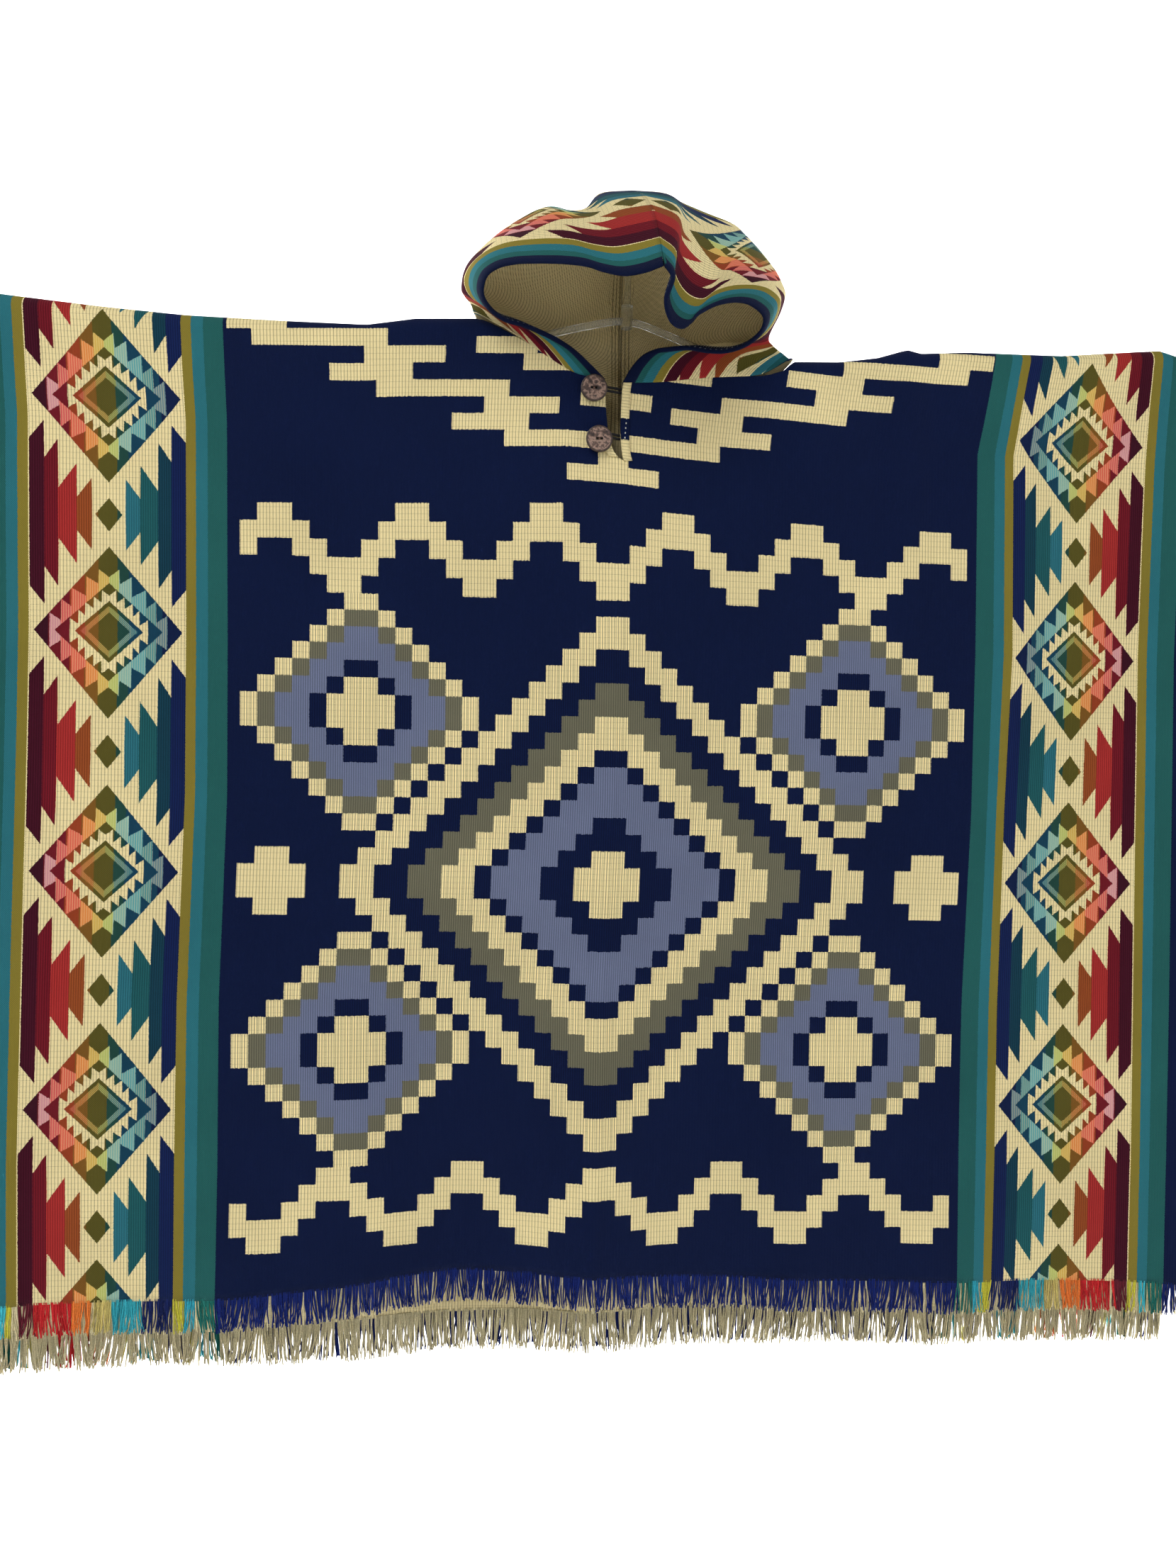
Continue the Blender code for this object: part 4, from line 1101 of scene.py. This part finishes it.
def hoodGrid(side, neck):
    # Each row is a smooth curve through five knots: brim, bulge, outline, bulge, back seam.
    count = hood["rows"]
    table = np.array(hood[side], float)
    shares = runLength(table[:, :3])
    rise = np.linspace(0, 1, count)
    sections = smoothRead(shares / shares[-1], table, rise)
    brim, ridge = sections[:, 0:3], sections[:, 3:6]
    seam = np.stack([np.full(count, body["backCentre"]), sections[:, 6], sections[:, 7]], axis=1)

    def bulge(a, b, swell):
        # The middle of two knots, moved outwards by a share of their distance
        middle = (a + b) / 2
        away = middle - np.array([body["backCentre"], hood["axisDepth"], 0.0])
        away[:, 2] = hood["awayUp"]
        return middle + unit(away) * (swell * np.linalg.norm(b - a, axis=1))[:, None]

    knots = np.stack([brim, bulge(brim, ridge, hood["swellFront"]), ridge,
                      bulge(ridge, seam, hood["swellBack"]), seam])
    frontLength = np.linalg.norm(ridge - brim, axis=1)
    rows = []
    for r in range(count):
        hem = body["hemWidth"] / max(frontLength[r], 4 * body["hemWidth"])
        share = np.array([0.0, hem, hem * hood["hemStep"]]
                         + [hem + (1 - hem) * s for s in hood["frontShares"]]
                         + [1 + s for s in hood["backShares"]])
        # Near the neck a row is drawn to it, by the square of its nearness
        blend = np.clip(1 - rise[r] / hood["neckReach"], 0, 1) ** 2
        start = smoothRead(hood["knots"], knots[:, 0], share)
        rows.append(smoothRead(hood["knots"], knots[:, r], share) + blend * (neck - start))
    return np.stack(rows)


def squareTo(edge, inward, otherInward):
    # The cloth's direction made square to the seam, and its angle to the other cloth.
    along = unit(np.gradient(edge, axis=0))
    inward = unit(inward - (inward * along).sum(1)[:, None] * along)
    otherInward = unit(otherInward - (otherInward * along).sum(1)[:, None] * along)
    return inward, np.arccos(np.clip((inward * otherInward).sum(1), -1, 1))


def mitre(edge, inward, otherInward, thickness, space):
    # Two cloths meet edge to edge. Each is drawn back by half the space, plus half its thickness
    # times the cosine of the half angle, all over that angle's sine.
    inward, angle = squareTo(edge, inward, otherInward)
    half = np.maximum(angle / 2, hood["sharpest"])
    return edge + inward * ((space / 2 + thickness / 2 * np.cos(half)) / np.sin(half))[:, None]


def butt(edge, inward, otherInward, thickness, space):
    # A cloth ends on another's face. It is drawn back by half the body's cloth, the space, and
    # half its own thickness times the cosine of the angle, all over the angle's sine.
    inward, angle = squareTo(edge, inward, otherInward)
    reach = body["cloth"] / 2 + space + np.cos(angle) * thickness / 2
    reach = reach / np.maximum(np.sin(angle), hood["sharpest"])
    return edge + inward * np.maximum(reach, 0)[:, None]


def hoodHalves():
    # Both halves, mitred along the crown and the back seam and set against the neck.
    necks = {side: neckEdge(side) for side in ("left", "right")}
    whole = {side: hoodGrid(side, necks[side][0]) for side in necks}
    columns = whole["left"].shape[1]
    thick = np.array([hood["hemThickness"]] * 2 + [body["cloth"]] * (columns - 2))
    shoulder = len(hood["frontShares"]) + 2
    halves = {}
    for side, other in (("left", "right"), ("right", "left")):
        own, mate, grid = whole[side], whole[other], whole[side].copy()
        neck, inward = necks[side]
        crown, mateCrown = own[-2].copy(), mate[-2].copy()
        crown[-1], mateCrown[-1] = own[-2, -2], mate[-2, -2]
        seam = own[:, -1]
        grid[:, -1] = mitre(seam, own[:, -2] - seam, mate[:, -2] - seam, body["cloth"],
                            hood["backSeam"])
        grid[-1] = mitre(own[-1], crown - own[-1], mateCrown - own[-1], thick, hood["backSeam"])
        centreX = grid[0, -1, 0]
        grid[0] = butt(grid[0], own[1] - own[0], inward, thick, hood["neckSeam"])
        grid[0, -1, 0] = centreX
        toCentre = math.copysign(1.0, body["backCentre"] - neck[shoulder, 0])
        lift = np.array(hood["shoulderLift"])
        grid[0, shoulder] = neck[shoulder] + lift * (toCentre, 0, 1)
        grid[0, shoulder - 1] += np.array(hood["besideShoulderLift"])
        halves[side] = grid
    return halves


def refine(grid, rows, columns):
    # The same surface through the same points, read more finely along both directions.
    tall = smoothRead(np.arange(len(grid)), grid, np.linspace(0, len(grid) - 1, rows))
    wide = np.swapaxes(tall, 0, 1)
    fine = smoothRead(np.arange(len(wide)), wide, np.linspace(0, len(wide) - 1, columns))
    return np.swapaxes(fine, 0, 1)


def buildHood():
    made = {}
    for side, grid in hoodHalves().items():
        fine = refine(grid, hood["fineRows"], hood["fineColumns"])
        fromBrim = runLength(np.swapaxes(fine, 0, 1)).T
        fromTop = runLength(fine[::-1])[::-1]
        across = hood["brimAcross"] - fromBrim
        along = fromTop - hood["firstDiamond"] + hood["patternShift"]
        place = np.stack([across, along], axis=-1).reshape(-1, 2) * mm
        fromSeam = runLength(np.swapaxes(fine[:, ::-1], 0, 1)).T[:, ::-1]
        nearSeam = np.clip(1 - fromSeam / hoodSeam["reach"], 0, 1)
        faces = gridFaces(*fine.shape[:2])
        if side == "right":
            faces = faces[:, ::-1]
        name = "hood" + side.capitalize()
        piece = addMesh(name, toRow(fine).reshape(-1, 3), faces, [face, back], place,
                        seam=nearSeam)
        thicken(piece, body["cloth"], 1)
        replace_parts(piece, "hood_" + side)
        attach(piece, "root")
        made[side] = (piece, buildHoodHem(side, fine))
    return made


def buildHoodHem(side, fine):
    # The rolled navy edge: a rounded strip along the brim, half over its face.
    rows, stations = np.arange(len(fine)), np.linspace(0, len(fine) - 1, hood["hemRows"])
    edge = smoothRead(rows, fine[:, 0], stations)
    inner = smoothRead(rows, fine[:, hood["acrossColumn"]], stations)
    across = unit(inner - edge)
    along = unit(np.gradient(edge, axis=0))
    out = unit(np.cross(along, across))
    if side == "left":
        out = -out
    middle = edge + across * (hood["hemHalfWidth"] - 1)
    rings = sweepRing(middle, across, out, hood["hemHalfWidth"], hood["hemThickness"] / 2)
    count, sides = rings.shape[:2]
    run = np.repeat(runLength(edge)[:, None], sides, axis=1)
    turn = np.repeat(np.arange(sides)[None] / sides, count, axis=0)
    place = np.stack([run * mm, turn], axis=-1).reshape(-1, 2)
    hem = addMesh("hoodHem" + side.capitalize(), toRow(rings).reshape(-1, 3),
                  gridFaces(count, sides, ring=True), [hemNavy], place)
    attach(hem, "root")
    return [hem] + buildOverlock(side, edge, across, out)


def tubeAlong(path, radius, sides=4):
    # A round thread: at each point a ring stands square to the path.
    along = unit(np.gradient(path, axis=0))
    slanted = np.array([0.31, 0.53, 0.79])
    first = unit(np.cross(along, slanted))
    second = np.cross(along, first)
    turn = np.linspace(0, 2 * math.pi, sides, endpoint=False)
    return (path[:, None] + first[:, None] * (np.cos(turn) * radius)[None, :, None]
            + second[:, None] * (np.sin(turn) * radius)[None, :, None])


def buildOverlock(side, edge, across, out):
    # Two zigzag threads inside the hem, a light one and a dark one half a step behind it.
    values = hood["overlock"]
    run = runLength(edge)
    made = []
    for colour, thread in (("Light", lightThread), ("Dark", darkThread)):
        start, end = values["ends"]
        start += values["pitch"] / 4 if colour == "Dark" else 0
        at = np.arange(start, run[-1] - end, values["pitch"] / 2)
        reach = np.where(np.arange(len(at)) % 2 == 0, values["near"], values["far"])

        def read(rows):
            return np.stack([np.interp(at, run, rows[:, k]) for k in range(3)], axis=1)

        path = read(edge) + read(across) * reach[:, None] + read(out) * values["lift"]
        rings = tubeAlong(path, values["radius"])
        count, sides = rings.shape[:2]
        stitches = addMesh("overlock" + colour + side.capitalize(), toRow(rings).reshape(-1, 3),
                           gridFaces(count, sides, ring=True), [thread])
        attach(stitches, "root")
        made.append(stitches)
    return made


def threadMaterial(name, colour):
    # Spun thread with a fine twist.
    mat, tree, shader = newMaterial(name)
    grain = noiseAt(tree, objectPlace(tree), 900.0, 2.0)
    setInput(tree, shader.inputs["Base Color"], tintColour(tree, colour, 0.75 + grain * 0.4))
    setCloth(shader)
    addBump(tree, shader, grain, 0.0003)
    return mat


lightThread = threadMaterial("lightThread", dyes["lightThread"])
darkThread = threadMaterial("darkThread", dyes["darkThread"])
hoodPieces = buildHood()
print("poncho: hood made")


# Fringe

fringe = {
    "front": {"strands": 1700, "length": 28.0, "vary": 3.0, "sway": 3.0, "radius": 0.9,
              "node": "front_fringe", "cream": 0.3, "behind": 1.5, "tone": 1.0, "seed": 5},
    # The back's tone of 0.8 is painted shade: it darkens all its strands, which hang in shade
    # behind the front
    "back": {"strands": 1700, "length": 34.0, "vary": 4.0, "sway": 3.6, "radius": 1.1,
             "node": "back_fringe", "cream": 0.62, "behind": -1.5, "tone": 0.8, "seed": 9},
    "points": 7,
    "sides": 3,
    "jitter": 0.35,           # of the room of one strand
    "creamLonger": 2.0,
    "tuft": (9.0, 1.6),       # spacing of the tufts, and how much they add to the sway
    "wave": (0.3, 1.3),       # least and greatest size, then how fast it turns
    "waveTurn": (3, 8),
    "bend": 1.6,
    "spread": 0.9,
    "rootLap": 2.0,           # how far a strand starts inside the hem
    "tip": 0.72,
    "shades": (0.75, 1.2),
    "yarns": [
        # from this distance from the centre line outwards
        (0, linear(26, 42, 112)), (351, linear(40, 120, 110)), (369, linear(60, 176, 196)),
        (380, linear(206, 200, 70)), (391, linear(30, 42, 96)), (419, linear(60, 170, 184)),
        (446, linear(214, 196, 120)), (462, linear(236, 130, 60)), (482, linear(206, 46, 50)),
        (515, linear(110, 40, 52)), (528, linear(206, 200, 70)), (538, linear(70, 186, 200)),
        (548, linear(40, 120, 110)), (565, linear(26, 42, 112)),
    ],
    "creamYarn": linear(232, 220, 178),
}


def yarnMaterial():
    # Each strand's own colour, with grain.
    mat, tree, shader = newMaterial("fringeYarn")
    tint = tree.nodes.new("ShaderNodeAttribute")
    tint.attribute_name = "yarn"
    grain = noiseAt(tree, clothPlace(tree)[0], 700.0, 2.0)
    setInput(tree, shader.inputs["Base Color"],
             tintColour(tree, tint.outputs["Color"], 0.6 + grain * 0.7))
    setCloth(shader)
    addBump(tree, shader, grain, weaveMarks["relief"])
    return mat


def buildFringe(name, hemLine, values, mat):
    # Each strand drops from the hem and leans sideways by a power of its share of the length,
    # with a small sine wave that grows from nothing at the root.
    chance = np.random.default_rng(values["seed"])
    count, points, sides = values["strands"], fringe["points"], fringe["sides"]
    run = runLength(hemLine)
    shift = chance.uniform(-fringe["jitter"], fringe["jitter"], count)
    at = (np.arange(count) + 0.5 + shift) * run[-1] / count
    root = np.stack([np.interp(at, run, hemLine[:, k]) for k in range(3)], axis=1)
    t = np.linspace(0, 1, points)[None, :]
    pale = chance.uniform(0, 1, count) < values["cream"]
    length = values["length"] + chance.uniform(-1, 1, (count, 1)) * values["vary"]
    length = length + pale[:, None] * fringe["creamLonger"]
    # Neighbours lean together in tufts, each with its own wave
    spacing, tuftShare = fringe["tuft"]
    tufts = np.arange(0, run[-1] + spacing, spacing)
    tuft = np.interp(at, tufts, chance.uniform(-1, 1, len(tufts)))[:, None]
    lean = tuft * values["sway"] * tuftShare + chance.uniform(-1, 1, (count, 1)) * values["sway"]
    size = chance.uniform(*fringe["wave"], (count, 1))
    turns = chance.uniform(*fringe["waveTurn"], (count, 1))
    wave = size * np.sin(t * turns + chance.uniform(0, 6, (count, 1)))
    x = root[:, :1] + lean * t ** fringe["bend"] + wave * t
    # The cream yarns are the other layer of the double weave, on its own side
    layer = np.where(pale, values["behind"], -values["behind"] / 2)[:, None]
    layer = layer + chance.uniform(-fringe["spread"], fringe["spread"], (count, 1))
    y = root[:, 1:2] + layer * (0.5 + t / 2)
    z = root[:, 2:3] + fringe["rootLap"] - (length + fringe["rootLap"]) * t
    path = np.stack([x, y, z], axis=-1)
    turn = np.linspace(0, 2 * math.pi, sides, endpoint=False)
    ring = np.stack([np.cos(turn), np.sin(turn), 0 * turn], axis=1) * values["radius"]
    thin = np.linspace(1.0, fringe["tip"], points)[None, :, None, None]
    tube = path[:, :, None] + ring[None, None] * thin
    one = gridFaces(points, sides, ring=True)
    start = (np.arange(count) * points * sides)[:, None, None]
    faces = (one[None] + start).reshape(-1, 4)
    u = weavePlace(root)[:, 0] / mm
    bounds = np.array([row[0] for row in fringe["yarns"]])
    dyesHere = np.array([row[1] for row in fringe["yarns"]])
    colour = dyesHere[np.searchsorted(bounds, np.abs(u), side="right") - 1]
    colour = np.where(pale[:, None], fringe["creamYarn"], colour)
    # Each strand's random brightness, times the piece's tone, which on the back is painted shade
    colour = colour * chance.uniform(*fringe["shades"], (count, 1)) * values["tone"]
    colour = np.concatenate([colour, np.ones((count, 1))], axis=1)
    colours = np.repeat(colour, points * sides, axis=0)
    place = np.stack([tube[..., 0], tube[..., 2]], axis=-1).reshape(-1, 2) * mm
    piece = addMesh(name, toRow(tube).reshape(-1, 3), faces, [mat], place, colours)
    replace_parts(piece, values["node"])
    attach(piece, "root")
    return piece


yarn = yarnMaterial()
frontFringe = buildFringe("frontFringe", frontHemLine, fringe["front"], yarn)
backFringe = buildFringe("backFringe", backHemLine, fringe["back"], yarn)
print("poncho: fringe tied")


# Buttons, loops and hanger

shell = {
    "rim": 0.0108,            # from here outwards the edge is dark, in metres
    "slot": (0.0034, 0.0012),
    "bead": 0.001,
    "rimDark": 0.85,
    "speckAbove": 0.58,
    "patchRange": (0.3, 0.7),
    "patches": [
        (0.36, linear(40, 28, 25)), (0.46, linear(96, 72, 62)), (0.54, linear(158, 130, 114)),
        (0.64, linear(66, 47, 42)),
    ],
    "speck": linear(36, 26, 24),
    "rimTone": linear(44, 30, 26),
    "slotTone": linear(14, 11, 12),
    "beadTone": linear(96, 66, 52),
}


def shellMaterial(button):
    # Coconut shell: brown and pink patches with fine dark specks, a dark rim and a dark slot
    # with the thread's bead in it, all measured from the middle of the button.
    mat, tree, shader = newMaterial("shell_" + button.name)
    corners = np.array([button.matrix_world @ Vector(corner) for corner in button.bound_box])
    middle = (corners.min(0) + corners.max(0)) / 2
    at = objectPlace(tree)
    x, depth, z = splitPlace(tree, at)
    across, up = (x - float(middle[0])).size(), (z - float(middle[2])).size()
    away = (across * across + up * up).use("SQRT")
    patch = noiseAt(tree, at, 170.0, 4.0)
    speck = noiseAt(tree, at, 420.0, 3.0)
    tone = ramp(patch, *shell["patchRange"], shell["patches"], False)
    colour = mixColour(tree, speck.above(shell["speckAbove"]) * 0.7, tone, shell["speck"])
    rim = away.above(shell["rim"]) * shell["rimDark"]
    colour = mixColour(tree, rim, colour, shell["rimTone"])
    slot = across.below(shell["slot"][0]) * up.below(shell["slot"][1])
    colour = mixColour(tree, slot, colour, shell["slotTone"])
    colour = mixColour(tree, away.below(shell["bead"]), colour, shell["beadTone"])
    setInput(tree, shader.inputs["Base Color"], colour)
    shader.inputs["Roughness"].default_value = 0.42
    addBump(tree, shader, patch + speck * 0.4, 0.0004)
    return mat


def elasticMaterial():
    # Black braid with fine cross ribs.
    mat, tree, shader = newMaterial("blackElastic")
    braid = tree.nodes.new("ShaderNodeTexWave")
    tree.links.new(objectPlace(tree), braid.inputs["Vector"])
    braid.inputs["Scale"].default_value = 420.0
    braid.inputs["Distortion"].default_value = 1.0
    weight = shaderNumber(tree, braid.outputs["Fac"])
    setInput(tree, shader.inputs["Base Color"],
             mixColour(tree, weight, linear(12, 12, 14), linear(34, 34, 40)))
    shader.inputs["Roughness"].default_value = 0.6
    addBump(tree, shader, weight, 0.0004)
    return mat


def clearMaterial():
    # Clear moulded plastic with faint flow marks.
    mat, tree, shader = newMaterial("clearPlastic")
    flow = noiseAt(tree, objectPlace(tree), 60.0, 2.0)
    setInput(tree, shader.inputs["Base Color"],
             mixColour(tree, flow, linear(238, 242, 240), linear(252, 253, 252)))
    shader.inputs["Roughness"].default_value = 0.06
    shader.inputs["IOR"].default_value = 1.46
    shader.inputs["Transmission Weight"].default_value = 0.96
    addBump(tree, shader, flow, 0.0008)
    return mat


finishes = {
    "button_upper": shellMaterial(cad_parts["button_upper"]),
    "button_lower": shellMaterial(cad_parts["button_lower"]),
    "button_thread_upper": elasticMaterial(),
    "hanger_arms": clearMaterial(),
}
finishes["hanger_hook"] = finishes["hanger_arms"]
for nodeName in ("button_thread_lower", "loop_upper", "loop_lower"):
    finishes[nodeName] = finishes["button_thread_upper"]
for nodeName, finish in finishes.items():
    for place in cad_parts[nodeName].material_slots:
        place.material = finish
print("poncho: buttons, loops and hanger finished")
